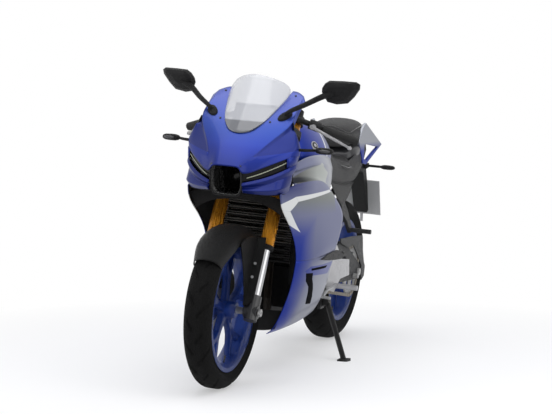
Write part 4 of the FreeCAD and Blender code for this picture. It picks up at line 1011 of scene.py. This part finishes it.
def mirror_ring(share, depth, shift=0):
    """The shell's outline drawn in towards its middle and set forward of the leaning glass."""
    ring = []
    for x, z in MIRROR_OUTLINE:
        across = MIRROR_MIDDLE.x - shift + (x - MIRROR_MIDDLE.x) * share
        up = MIRROR_MIDDLE.z + (z - MIRROR_MIDDLE.z) * share
        along = GLASS_CORNER.y + 0.22 * (across - GLASS_CORNER.x) + 0.5 * (GLASS_CORNER.z - up)
        ring.append((across, along - depth, up))
    return ring


shell = loft_faces([mirror_ring(0.93, -4), mirror_ring(1.0, 0), mirror_ring(0.98, 10),
                    mirror_ring(0.82, 26, 6), mirror_ring(0.45, 37, 14)])
stalk_line = [(141, -594, 1008), (160, -598, 1026), (204, -574, 1052), (252, -540, 1084), (296, -530, 1106)]
stalk = tube_faces(bend(stalk_line), 7, 12, 12)
foot = button((141, -590, 1003), (0.12, -0.7, 0.7), (0.55, 0.2, 0.8), 33, 18, 13)
add_piece("mirrors_shell", *pair(merged(shell, stalk, foot)), black_plastic, "chassis", "black_plastic",
          ("mirrors",))
glass = loft_faces([mirror_ring(0.9, 1.0), mirror_ring(0.9, 0.2)])
add_piece("mirror_glass", *pair(glass), mirror_glass, "chassis", "black_plastic")

# %% [markdown]
# ## Turn signals
# Each lamp is a leaf of black plastic on a short stem, with a dark grey lens let into its outer face.


# %% Turn signals
def leaf(x_stops, y, z, deep, high):
    """A slim body that runs outward; each stop gives x and the share of its full section."""
    rings = [oval((x, y, z), (0, deep * share, 0), (0, 0, high * share), 14) for x, share in x_stops]
    return loft_faces(rings)


BODY_STOPS = ((266, 0.35), (272, 0.75), (284, 0.98), (304, 1.0), (322, 0.9), (331, 0.62), (334, 0.25))
LENS_STOPS = ((277, 0.3), (283, 0.8), (296, 1.0), (314, 0.96), (324, 0.7), (328, 0.3))
REAR_INWARD = 154
signal_body = leaf(BODY_STOPS, -588, 893, 20, 12.5)
signal_stem = tube_faces([(212, -622, 890), (240, -612, 891), (270, -592, 893)], 6, 12, 5)
rear_body = leaf([(x - REAR_INWARD, share) for x, share in BODY_STOPS], 974, 779, 19, 11)
rear_stem = tube_faces([(33, 976, 779), (118, 976, 779)], 6, 12)
add_piece("signals", *pair(merged(signal_body, signal_stem, rear_body, rear_stem)), black_plastic, "chassis",
          "signal_lens", ("turn_signals",))
front_lens = leaf(LENS_STOPS, -594, 893, 17, 8)
rear_lens = leaf([(x - REAR_INWARD, share) for x, share in LENS_STOPS], 980, 779, 16, 7)
add_piece("signal_lenses", *pair(merged(front_lens, rear_lens)), signal_lens, "chassis", "signal_lens")
print("turn signals")

# %% [markdown]
# ## Duct, lamp lines and screws
# The duct in the nose feeds air to the box under the tank. Its mouth has rounded lower corners and a thin
# satin lip. The headlamps are narrow slits, each with one pale line, partly the light guide's own colour and
# partly a painted reflection. Four screws with black heads hold the screen.

# %% Duct, lamp lines and screws
DUCT_TOP = 822
DUCT_MIDDLE = 767
DUCT_FRONT = -789
DUCT_HALF = [(0, DUCT_TOP), (56, DUCT_TOP), (58, 800), (59, 760), (57, 738), (51, 722), (40, 713), (0, 712)]


def duct_ring(share, forward):
    """The mouth's outline, drawn in towards its middle and set forward of its plane."""
    half = [(x * share, DUCT_MIDDLE + (z - DUCT_MIDDLE) * share) for x, z in DUCT_HALF]
    whole = half + [(-x, z) for x, z in reversed(half[1:-1])]
    return [(x, DUCT_FRONT + (DUCT_TOP - z) * 0.23 - forward, z) for x, z in whole]


duct_walls = loft_faces([duct_ring(1.03, -2), duct_ring(1.03, 1), duct_ring(0.93, 1), duct_ring(0.72, -96),
                         duct_ring(0.80, -98), duct_ring(1.03, -2)], caps=False)
duct_back = loft_faces([duct_ring(0.74, -94), duct_ring(0.74, -97)])
add_piece("duct_shell", *merged(duct_walls, duct_back), glossy_black, "chassis", "black_plastic",
          ("intake_duct",))
lip_line = [(x, y, z) for x, y, z in duct_ring(1.03, 2)[2:8]]
add_piece("duct_lip", *pair(tube_faces(bend(lip_line), 1.6, 8)), dark_satin, "chassis", "black_plastic")
# the pale line in each lamp, partly a painted reflection
guide_and_reflection_line = [(76, -772, 780), (112, -742, 796), (160, -695, 824), (192, -662, 846)]
add_piece("lamp_lines", *pair(tube_faces(bend(guide_and_reflection_line), 1.9, 8)), lamp_guide_and_reflection, "chassis", "lamp_lens")
screw_places = [((97, -626, 982), (0.25, -0.75, 0.6)), ((139, -478, 1083), (0.3, -0.75, 0.6))]
screws = [button(centre, outward, (1, 0, 0), 4.2, 4.2, 2.4, 10) for centre, outward in screw_places]
add_piece("screen_screws", *pair(merged(*screws)), glossy_black, "chassis", "black_plastic")
print("duct, lamp lines, screws")

# %% [markdown]
# ## Tank and its side panels
# The tank is a pressed steel hull, wide at the front and drawn in at the rider's knees. A moulded panel
# closes the gap between tank and side cowl. Its deep scoop is dark at the front, where it is shaded, and
# light at the rear.

# %% Tank
TANK_STATIONS = [
    (-274, [(18, 936), (44, 928), (68, 908), (88, 872), (94, 834), (89, 806)]),
    (-248, [(22, 968), (56, 958), (86, 934), (112, 888), (122, 842), (115, 806)]),
    (-190, [(24, 991), (62, 982), (96, 956), (128, 904), (148, 852), (140, 806)]),
    (-100, [(24, 995), (66, 987), (104, 960), (136, 908), (157, 852), (151, 806)]),
    (0, [(24, 984), (66, 976), (104, 950), (136, 904), (155, 848), (149, 806)]),
    (90, [(22, 952), (58, 943), (92, 920), (122, 882), (136, 842), (130, 806)]),
    (150, [(20, 906), (48, 898), (74, 880), (94, 850), (104, 832), (98, 806)]),
    (197, [(14, 852), (30, 848), (50, 840), (66, 826), (74, 816), (71, 806)]),
]


def hull(stations):
    """Points and faces through cross sections, each given as y and the left half's outline from the top."""
    sections = []
    for y, half in stations:
        left = [(x, y, z) for x, z in half]
        sections.append(left + [flip(p) for p in reversed(left)])
    return loft_faces(sections)


tank_low = [[(side * half[-1][0], y, half[-1][1]) for y, half in TANK_STATIONS] for side in (1, -1)]
tank = add_piece("tank_shell", *hull(TANK_STATIONS), tank_blue, "chassis", "tank_blue", ("fuel_tank",),
                 None, tank_low)
soft(tank)
CAP_PLACE = (0, -128)
collar = loft_faces([oval((*CAP_PLACE, z), (size, 0, 0), (0, size, 0), 32)
                     for size, z in ((44, 970), (44, 986), (42, 989.5), (36, 989.8), (20, 989.8))])
add_piece("filler_collar", *collar, glossy_black, "chassis", "tank_blue")
disc_out = Vector((0.80, -0.36, 0.48)).normalized()
disc_place = Vector((134, -172, 894))
plain_disc = merged(*[button(disc_place + disc_out * rise, disc_out, (0, 1, 0), size, size, 3.0, 28)
                      for size, rise in ((19, 0), (9, 1.5))])
add_piece("tank_discs", *pair(plain_disc), bright_cast, "chassis", "tank_blue")
dark_ring = button(disc_place + disc_out * 0.9, disc_out, (0, 1, 0), 15, 15, 3.0, 28)
add_piece("tank_disc_rings", *pair(dark_ring), engine_cast, "chassis", "tank_blue")

# %% Panels between tank and side cowl
PANEL_ROWS = [
    [(160, -470, 836), (168, -385, 856), (166, -250, 862), (160, -130, 860), (152, -40, 852), (146, 20, 838)],
    [(182, -540, 808), (190, -430, 820), (190, -317, 828), (184, -210, 826), (176, -110, 820), (164, 0, 806)],
    [(150, -540, 802), (154, -430, 812), (160, -317, 818),
     (172, -210, 812), (178, -115, 806), (170, -20, 790)],
    [(152, -550, 768), (158, -430, 774), (168, -310, 776),
     (184, -200, 768), (190, -120, 760), (180, -50, 750)],
    [(198, -590, 764), (205, -430, 768), (205, -300, 768),
     (203, -200, 752), (196, -125, 735), (186, -90, 716)],
    [(192, -560, 740), (198, -430, 742), (198, -300, 740),
     (198, -200, 730), (190, -120, 700), (180, -80, 690)],
]
panels = add_piece("tank_panels", *pair(grid(PANEL_ROWS)), scoop_silver, "chassis", "silver_panel",
                   ("tank_sides",), (0, -250, 760), both_lines([PANEL_ROWS[1], PANEL_ROWS[4]]))
sheet_metal(panels, 2)
INNER_ROWS = [
    [(181, -602, 986), (192, -612, 957), (209, -606, 905), (208, -585, 862)],
    [(166, -560, 980), (170, -560, 950), (176, -552, 905), (176, -540, 858)],
    [(150, -520, 968), (156, -510, 936), (160, -500, 900), (162, -480, 846)],
]
inner = add_piece("inner_panels", *pair(grid(INNER_ROWS)), green_grey, "chassis", "silver_panel", (),
                  (0, -700, 900))
sheet_metal(inner, 1)
print("panels between tank and cowl")

# %% [markdown]
# ## Seats and side covers
# Under the seats, a dark satin cover runs from the tank to the tail and ends in a triangle over the
# footrest. The seats are foam under a grained cover: crowned, drawn in along a piped seam, and flat only
# where they rest.

# %% Side covers
COVER_ROWS = [
    [(150, -60, 848), (142, 30, 858), (130, 110, 846), (122, 200, 826),
     (124, 300, 812), (122, 430, 828), (116, 560, 868), (104, 690, 906)],
    [(162, -66, 808), (154, 30, 804), (144, 120, 794), (136, 220, 782),
     (134, 320, 778), (130, 440, 790), (124, 560, 822), (112, 690, 864)],
    [(158, -50, 766), (152, 40, 752), (146, 130, 742), (142, 220, 734),
     (138, 320, 728), (133, 430, 730), (124, 540, 752), (110, 660, 806)],
]
TRIANGLE_ROWS = [
    [(150, 44, 746), (146, 130, 736), (142, 220, 728), (138, 320, 722), (133, 436, 722)],
    [(146, 90, 718), (143, 160, 704), (140, 230, 694), (137, 300, 690), (133, 410, 690)],
    [(139, 190, 672), (138, 230, 660), (136, 268, 652), (134, 310, 652), (132, 372, 660)],
    [(133, 270, 642), (133, 284, 636), (132, 300, 631), (132, 312, 634), (131, 330, 641)],
]
covers = add_piece("side_covers", *pair(joined(COVER_ROWS, TRIANGLE_ROWS)), dark_satin, "chassis",
                   "dark_panel", (), (0, 250, 760), both_lines([COVER_ROWS[1], TRIANGLE_ROWS[0]]))
sheet_metal(covers, 2)
seam_line = [(x - 1, y, z + 3) for x, y, z in TRIANGLE_ROWS[0]]
front_seam_line = [(158, -52, 766), (156, -10, 757), (152, 40, 748)]
seam = merged(tube_faces(bend(seam_line), 5.5, 8), tube_faces(bend(front_seam_line), 5.5, 8))
add_piece("cover_seams", *pair(seam), black_plastic, "chassis", "dark_panel")
print("side covers")

# %% Seats
RIDER_STATIONS = [
    (150, [(20, 880), (52, 874), (74, 856), (82, 838), (70, 822), (40, 822)]),
    (186, [(24, 862), (66, 858), (94, 844), (104, 822), (92, 806), (46, 800)]),
    (250, [(26, 832), (80, 836), (116, 828), (126, 808), (116, 786), (60, 776)]),
    (320, [(26, 818), (86, 826), (126, 820), (136, 798), (128, 768), (60, 752)]),
    (390, [(26, 824), (84, 832), (122, 824), (132, 800), (124, 764), (60, 752)]),
    (430, [(24, 852), (76, 850), (108, 832), (118, 800), (114, 766), (60, 760)]),
]
PILLION_STATIONS = [
    (422, [(18, 950), (54, 944), (84, 926), (98, 898), (92, 872), (40, 866)]),
    (450, [(22, 968), (68, 962), (98, 942), (112, 910), (104, 882), (50, 874)]),
    (520, [(24, 984), (74, 979), (104, 960), (118, 930), (110, 900), (54, 890)]),
    (600, [(24, 995), (72, 990), (102, 972), (115, 944), (106, 916), (54, 904)]),
    (668, [(22, 999), (64, 994), (92, 978), (104, 954), (96, 930), (50, 918)]),
    (702, [(14, 992), (44, 988), (68, 974), (82, 956), (80, 938), (44, 926)]),
]
PIPING_RADIUS = 2.2


def cushion(name, stations, stands_for):
    piece = add_piece(name, *hull(stations), seat_leather, "chassis", "seat_cover", (stands_for,))
    soft(piece, 3)
    return piece


def piping(stations, corner, lift=1.0):
    """A seam line along one corner of the stations, a little outside the cover."""
    line = [(half[corner][0] + lift, y, half[corner][1] - 2) for y, half in stations[1:-1]]
    return tube_faces(bend(line), PIPING_RADIUS, 8)


cushion("rider_cushion", RIDER_STATIONS, "rider_seat")
cushion("pillion_cushion", PILLION_STATIONS, "pillion_seat")
front_seam = [(0, 424, 962), (40, 424, 958), (76, 430, 944), (97, 446, 932)]
crossing = tube_faces(bend(front_seam), PIPING_RADIUS, 8)
seams = merged(pair(piping(RIDER_STATIONS, 3)), pair(piping(PILLION_STATIONS, 2)), pair(crossing))
add_piece("seat_piping", *seams, glossy_black, "chassis", "seat_cover")
print("seats and piping")

# %% [markdown]
# ## Tail
# The tail closes the machine behind the seats. At each side a wing stands off it, with a triangular window
# that lets air through. Under the tail, a black arm carries the rear signals and the plate.

# %% Tail
TAIL_STATIONS = [
    (436, [(30, 862), (76, 860), (112, 850), (122, 822), (108, 770), (40, 758)]),
    (520, [(30, 892), (80, 890), (118, 880), (126, 848), (110, 788), (40, 774)]),
    (620, [(30, 914), (76, 912), (112, 904), (118, 870), (104, 810), (40, 794)]),
    (706, [(28, 932), (64, 930), (94, 920), (98, 882), (86, 828), (36, 812)]),
    (800, [(20, 928), (48, 926), (68, 916), (70, 888), (56, 848), (28, 836)]),
    (822, [(14, 922), (36, 920), (58, 912), (62, 886), (48, 848), (22, 840)]),
]
HUMP_STATIONS = [
    (696, [(14, 986), (42, 983), (66, 972), (80, 950), (84, 922)]),
    (740, [(14, 978), (40, 974), (62, 963), (76, 942), (80, 916)]),
    (802, [(10, 952), (28, 950), (46, 942), (56, 928), (58, 908)]),
]
tail = add_piece("tail_shell", *merged(hull(TAIL_STATIONS), hull(HUMP_STATIONS)), tail_dark_blue,
                 "chassis", "dark_panel", ("tail_cowl",))
soft(tail)
WING_OUTER = [(548, 900), (572, 958), (604, 986), (793, 892), (722, 850), (640, 800), (604, 806)]
WING_INNER = [(606, 878), (610, 888), (628, 890), (748, 879), (706, 858), (640, 820), (612, 826)]


def wing_line(outline):
    """The wing stands further out towards its rear tip."""
    return [(118 + (y - 556) * 0.16, y, z) for y, z in outline]


wing_frame = framed(wing_line(WING_OUTER), wing_line(WING_INNER), (-13, 0, 0))
wing = add_piece("tail_wings", *pair(wing_frame), silver_blue, "chassis", "silver_panel")
rounded(wing, 4, 3)
TAIL_LAMP_STATIONS = [
    (816, [(22, 912), (50, 906), (57, 886), (46, 848)]),
    (834, [(18, 906), (44, 901), (49, 885), (39, 855)]),
    (840, [(12, 896), (32, 893), (38, 883), (30, 865)]),
]
soft(add_piece("tail_lamp", *hull(TAIL_LAMP_STATIONS), tail_lens, "chassis", "tail_lens", ("tail_light",)), 1)
print("tail")

# %% Plate and its arm
ARM_LINE = [(704, 796), (820, 841), (880, 822), (1000, 792), (1030, 740), (1062, 690), (1120, 560),
            (1096, 548), (1010, 670), (962, 742), (880, 762), (720, 786)]
ARM_RIB = [(1042, 704), (1054, 709), (1124, 560), (1112, 554)]
ARM_BRANCH = [(958, 764), (996, 770), (994, 792), (960, 792)]
arm_shape = merged(plate_faces(ARM_LINE, -33, 33), plate_faces(ARM_RIB, -24, 24),
                   pair(plate_faces(ARM_BRANCH, 33, 52)))
arm = add_piece("plate_arm", *arm_shape, black_plastic, "chassis", "black_plastic", ("plate_holder",))
rounded(arm, 5, 3)
PLATE_LINE = [(1058.4, 706), (1060.6, 707), (1138, 541), (1135.8, 540)]
plate = add_piece("plate", *plate_faces(PLATE_LINE, -90, 90), plate_blank, "chassis", "plate_blank",
                  ("number_plate",))
rounded(plate, 0.8, 2)
stay = tube_faces([(0, 1106, 570), (0, 1120, 545), (0, 1128, 505)], 7, 10)
add_piece("plate_stay", *stay, bright_cast, "chassis", "black_plastic")
GUARD_TOP = [(345, 488), (520, 486), (700, 478), (712, 462), (704, 448), (560, 444), (470, 438), (352, 468)]
GUARD_END = [(560, 444), (704, 448), (762, 352), (786, 332), (782, 286), (742, 270), (724, 300), (724, 340)]
chain_guard = merged(plate_faces(GUARD_TOP, 122, 127), plate_faces(GUARD_END, 122, 127))
rounded(add_piece("chain_guard", *chain_guard, grey_cast, "chassis", "swingarm_grey"), 1.5, 2)
print("plate, arm and chain guard")

# %% [markdown]
# ## Front fender
# The fender is one moulding: an arch close over the tyre, and a guard that runs down ahead of each fork leg
# to its two bolts. It turns with the fork.

# %% Front fender
ARCH = FRONT_RADIUS + 16
FENDER_PROFILE = [(74, ARCH - 46), (70, ARCH - 26), (54, ARCH - 8), (28, ARCH + 1), (0, ARCH + 4)]
FENDER_FROM = -50
FENDER_TO = 58
FENDER_STEPS = 12


def fender_row(degrees, spread):
    turn = math.radians(degrees)
    half = [(x * spread, FRONT_AXLE.y + r * math.sin(turn), FRONT_RADIUS + r * math.cos(turn))
            for x, r in FENDER_PROFILE]
    return half + [flip(p) for p in reversed(half[:-1])]


fender_rows = []
for step in range(FENDER_STEPS + 1):
    degrees = FENDER_FROM + (FENDER_TO - FENDER_FROM) * step / FENDER_STEPS
    ends = min(step, FENDER_STEPS - step) / 2
    fender_rows.append(fender_row(degrees, min(1.0, 0.72 + 0.28 * ends)))
fender = add_piece("fender_arch", *grid(fender_rows), fender_black, "steering", "fender_black",
                   ("front_fender",), tuple(FRONT_AXLE))
sheet_metal(fender, 2, 3.5)
print("fender")

# %% [markdown]
# The guards, their bolts and the fork's caps and seals are placed by their distance ahead of the axle and
# up along the fork.

# %% Fender guards and fork trim
AHEAD = Vector((1, 0, 0)).cross(UP_LINE).normalized()
FORK_SIDE = 107
GUARD = [(-24, 275), (0, 276), (94, 258), (158, 225), (190, 190), (160, 167), (92, 107), (40, 45),
         (16, 12), (-14, 12), (-22, 120)]
GUARD_FRONT = [(76, 276), (110, 280), (115, 200), (114, 90), (108, 30), (92, 14), (76, 14)]


def beside(x, ahead, up):
    """A point beside the wheel, by its distance ahead of the axle and up along the fork."""
    return tuple(Vector((x, FRONT_AXLE.y, FRONT_AXLE.z)) + AHEAD * ahead + UP_LINE * up)


guard = loft_faces([[beside(x, a, b) for a, b in GUARD] for x in (75, 81)])
guard_front = loft_faces([[beside(x, ahead, up) for x, up in GUARD_FRONT] for ahead in (27, 32)])
ear_bars = tube_faces([beside(66, 6, 270), beside(84, 6, 270)], 12, 10)
guards = add_piece("fender_guards", *pair(merged(guard, guard_front, ear_bars)), fender_black, "steering",
                   "fender_black")
rounded(guards, 2.4, 3)
bolts = [button(beside(90, 32, up), AHEAD, (0, 0, 1), 6, 6, 4, 10) for up in (122, 174)]
add_piece("guard_bolts", *pair(merged(*bolts)), bright_cast, "steering", "axle_steel")
fork_trim = merged(tube_faces([beside(FORK_SIDE, 0, 783), beside(FORK_SIDE, 0, 810)], 27.4, 28),
                   tube_faces([beside(FORK_SIDE, 0, 240), beside(FORK_SIDE, 0, 257)], 27.2, 28))
rounded(add_piece("fork_trim", *pair(fork_trim), black_plastic, "steering", "clamp_grey"), 2, 2)
print("guards, fork caps and seals; ahead is", [round(c, 4) for c in AHEAD])

# %% [markdown]
# ## Tyres
# A tyre is a rounded ring with grooves cut in its tread. The ring is turned in fine steps, and each groove
# is a band of points pushed inward. Its sidewall ends at the rim's flange.

# %% Tyres
TYRE_STEPS = 320
GROOVES = 20
GROOVE_DEPTH = 4.0
CROWN_FLAT = 14
FRONT_RIM_WIDTH = 76.2
REAR_RIM_WIDTH = 101.6


def groove(k, across):
    """How deep slanting grooves, long and short in turn, cut the tread at a step and a share of its width."""
    share = abs(across)
    if not 0.10 < share < 0.84:
        return 0.0
    lean_by = 0.9 * (share - 0.10)
    side = 0.5 if across > 0 else 0.0
    place = (k / TYRE_STEPS * GROOVES + side - lean_by) % 1.0
    reach = 0.84 if int(k / TYRE_STEPS * GROOVES + side - lean_by) % 2 else 0.56
    if share > reach:
        return 0.0
    return max(0.0, 1.0 - abs(place - 0.5) / 0.11)


def tyre_mesh(hub, radius, width, rim_width):
    curve = 0.55 * width
    widest = 0.5 * width
    half = [(x, radius) for x in (0, 4, 9, CROWN_FLAT)]
    for degrees in range(6, 72, 6):
        turn = math.radians(degrees)
        across = CROWN_FLAT + (curve * math.sin(turn)) * (widest - CROWN_FLAT) / (0.95 * curve)
        half.append((across, radius - curve * (1 - math.cos(turn))))
    half += [(rim_width / 2 + 3, 241), (rim_width / 2 - 0.4, 232), (rim_width / 2 - 0.4, 217)]
    profile = half + [(-x, r) for x, r in reversed(half[1:])]

    def cut(k, x, r):
        return x, r - GROOVE_DEPTH * min(1.0, 1.6 * groove(k, x / widest)) if r > radius - 0.62 * curve else r

    return wheel_ring(hub, profile, TYRE_STEPS, cut)


TYRES = [
    ("front", FRONT_AXLE, FRONT_RADIUS, 110, FRONT_RIM_WIDTH),
    ("rear", REAR_AXLE, REAR_RADIUS, 140, REAR_RIM_WIDTH),
]
for name, hub, radius, width, rim_width in TYRES:
    shape = tyre_mesh(hub, radius, width, rim_width)
    tyre = add_piece("tyre_" + name, *shape, tyre_rubber, name + "_wheel", "tyre", (name + "_tyre",))
    print(name, "tyre", len(tyre.data.polygons), "faces")

# %% [markdown]
# ## Wheels
# The wheels are cast in one: a barrel with a flange at each edge, and five arms that fork into two on the
# way out. A mould needs slanted, rounded sides, so every arm is bevelled and narrows from its middle to its
# faces.

# %% Wheels
FORK_AT = 130
ARM_OUTLINE = [(-17, 22), (-14, 60), (-12, 100), (-18, 122), (-63, 196), (-42, 206), (-7, 142), (0, 133),
               (7, 142), (42, 206), (63, 196), (18, 122), (12, 100), (14, 60), (17, 22)]


def wheel_arm(hub, degrees, half):
    """One forked arm between two faces; its edges are set in a little from its middle plane."""
    turn = math.radians(degrees)
    sections = []
    for x, share in ((-half, 0.80), (-half * 0.35, 1.0), (half * 0.35, 1.0), (half, 0.80)):
        ring = []
        for across, out in ARM_OUTLINE:
            a = across * share if out < FORK_AT else across + (1 - share) * math.copysign(3, -across)
            ring.append((hub.x + x * (1 - 0.25 * out / 200),
                         hub.y + a * math.cos(turn) + out * math.sin(turn),
                         hub.z - a * math.sin(turn) + out * math.cos(turn)))
        sections.append(ring)
    return loft_faces(sections)


def wheel_mesh(hub, rim_width, hub_width, carriers):
    half = rim_width / 2
    outside = [(half, 215.5), (half, 228.5), (half + 1.5, 230), (half + 3.5, 229), (half + 3.5, 214),
               (half - 4, 206), (0.45 * half, 200)]
    well = [(-half + 3, 213), (-0.3 * half, 204.5), (0.3 * half, 204.5), (half - 3, 213)]
    barrel = outside + [(-x, r) for x, r in reversed(outside)] + well
    shapes = [wheel_ring(hub, barrel, 96)]
    core = [(hub_width / 2, 9), (hub_width / 2, 26), (hub_width / 2 - 6, 30), (18, 34)]
    core += [(-x, r) for x, r in reversed(core)]
    shapes.append(wheel_ring(hub, core, 40))
    for side in carriers:
        end = side * hub_width / 2
        plate = [(end - side * 10, 24), (end - side * 10, 49), (end - side * 8, 51), (end, 51), (end, 24)]
        shapes.append(wheel_ring(hub, plate, 40))
    shapes += [wheel_arm(hub, 360 / 5 * k, 14) for k in range(5)]
    return merged(*shapes)


WHEELS = [
    ("front", FRONT_AXLE, FRONT_RIM_WIDTH, 96.0, (-1,)),
    ("rear", REAR_AXLE, REAR_RIM_WIDTH, 130.0, (-1, 1)),
]
for name, hub, rim_width, hub_width, carriers in WHEELS:
    shape = wheel_mesh(hub, rim_width, hub_width, carriers)
    wheel = add_piece("wheel_" + name, *shape, wheel_blue, name + "_wheel", "wheel_blue", (name + "_rim",))
    rounded(wheel, 2.5, 2, 32)
    valve = tube_faces([tuple(hub + Vector((14, 0, -199))), tuple(hub + Vector((18, 0, -172)))], 3.5, 8, 3)
    add_piece("valve_" + name, *valve, glossy_black, name + "_wheel", "tyre")
print("wheels")

# %% [markdown]
# ## Studio and camera
# The world is plain white to the camera and in reflections. To everything else it is a weaker, pale blue
# light.

# %% World
world = bpy.data.worlds.new("studio")
bpy.context.scene.world = world
world.use_nodes = True
tree = world.node_tree
background = tree.nodes["Background"]
background.inputs["Color"].default_value = (0.9, 0.92, 1.0, 1)
background.inputs["Strength"].default_value = 0.55
path = tree.nodes.new("ShaderNodeLightPath")
white = tree.nodes.new("ShaderNodeBackground")
white.inputs["Color"].default_value = (1, 1, 1, 1)
white.inputs["Strength"].default_value = 1.0
seen = path.outputs["Is Camera Ray"]
for kind in ("Is Transmission Ray", "Is Glossy Ray"):
    either = tree.nodes.new("ShaderNodeMath")
    either.operation = "MAXIMUM"
    tree.links.new(seen, either.inputs[0])
    tree.links.new(path.outputs[kind], either.inputs[1])
    seen = either.outputs[0]
mix = tree.nodes.new("ShaderNodeMixShader")
tree.links.new(seen, mix.inputs[0])
tree.links.new(background.outputs[0], mix.inputs[1])
tree.links.new(white.outputs[0], mix.inputs[2])
tree.links.new(mix.outputs[0], tree.nodes["World Output"].inputs[0])
print("world ready")

# %% [markdown]
# Three lamps light the machine, the largest from above. The floor takes its shadow, and glows more and more
# by itself away from the machine, so that it melts into the white.

# %% Lamps and floor
AIM = Vector((0, 0, 0.5))


def lamp(name, x, y, z, width, depth, power):
    data = bpy.data.lights.new(name, "AREA")
    data.shape = "RECTANGLE"
    data.size = width
    data.size_y = depth
    data.energy = power
    made = bpy.data.objects.new(name, data)
    made.location = (x, y, z)
    made.rotation_euler = (AIM - Vector((x, y, z))).to_track_quat("-Z", "Y").to_euler()
    bpy.context.scene.collection.objects.link(made)


lamp("lamp_above", 0.3, -0.6, 3.4, 3.2, 4.0, 82)
lamp("lamp_left", 3.2, -1.6, 1.8, 2.4, 2.4, 34)
lamp("lamp_right", -3.0, -1.8, 1.6, 2.4, 2.4, 22)

floor_mesh = bpy.data.meshes.new("floor")
floor_mesh.from_pydata([(-8, -8, 0), (8, -8, 0), (8, 12, 0), (-8, 12, 0)], [], [(0, 1, 2, 3)])
floor = bpy.data.objects.new("floor", floor_mesh)
bpy.context.scene.collection.objects.link(floor)
floor_paint = Paint("floor_paint", base_color=(0.9, 0.9, 0.9, 1), roughness=0.9)
reach = floor_paint.node("VectorMath", {"operation": "LENGTH"}, {0: floor_paint.place()})
far = fade(floor_paint.wire(reach, "Value"), 900.0, 2200.0)
glow = floor_paint.node("Emission", None, {"Color": (1, 1, 1, 1), "Strength": 1.0})
floor_mix = floor_paint.node("MixShader", None, {0: far * 0.6 + 0.4})
floor_paint.tree.links.new(floor_paint.shader.outputs[0], floor_mix.inputs[1])
floor_paint.tree.links.new(glow.outputs[0], floor_mix.inputs[2])
floor_paint.tree.links.new(floor_mix.outputs[0], floor_paint.tree.nodes["Material Output"].inputs[0])
floor_mesh.materials.append(floor_paint.material)
print("lamps and floor ready")

# %% [markdown]
# The photograph was taken from ahead and to the rider's left, a little above the tank, with a long lens.
# The camera was solved on the upright machine, and leans back with it into the scene.

# %% Camera
PHOTO_WIDTH = 552
FOCAL_PIXELS = 1470
CAMERA_SIDE = math.radians(18.67)
CAMERA_BACK = 5994
CAMERA_SHIFT = -13
CAMERA_HEIGHT = 951
CAMERA_DOWN = math.radians(3.10)
SENSOR_WIDTH = 36.0
back = Vector((math.sin(CAMERA_SIDE), -math.cos(CAMERA_SIDE), 0))
right = Vector((math.cos(CAMERA_SIDE), math.sin(CAMERA_SIDE), 0))
camera_data = bpy.data.cameras.new("camera")
camera_data.sensor_width = SENSOR_WIDTH
camera_data.lens = FOCAL_PIXELS / PHOTO_WIDTH * SENSOR_WIDTH
camera = bpy.data.objects.new("camera", camera_data)
bpy.context.scene.collection.objects.link(camera)
eye = back * CAMERA_BACK + right * CAMERA_SHIFT + Vector((0, 0, CAMERA_HEIGHT))
SURVEY_CROWN = Vector((0, 0, 57))
survey = Matrix.Translation(SURVEY_CROWN) @ Matrix.Rotation(lean, 4, "Y") @ Matrix.Translation(-SURVEY_CROWN)
camera.location = PLACE @ survey.inverted() @ eye
look = -back * math.cos(CAMERA_DOWN) - Vector((0, 0, 1)) * math.sin(CAMERA_DOWN)
camera.rotation_euler = look.to_track_quat("-Z", "Y").to_euler()
bpy.context.scene.camera = camera
bpy.context.scene.view_settings.view_transform = "Standard"
print("camera at", [round(c, 2) for c in camera.location])
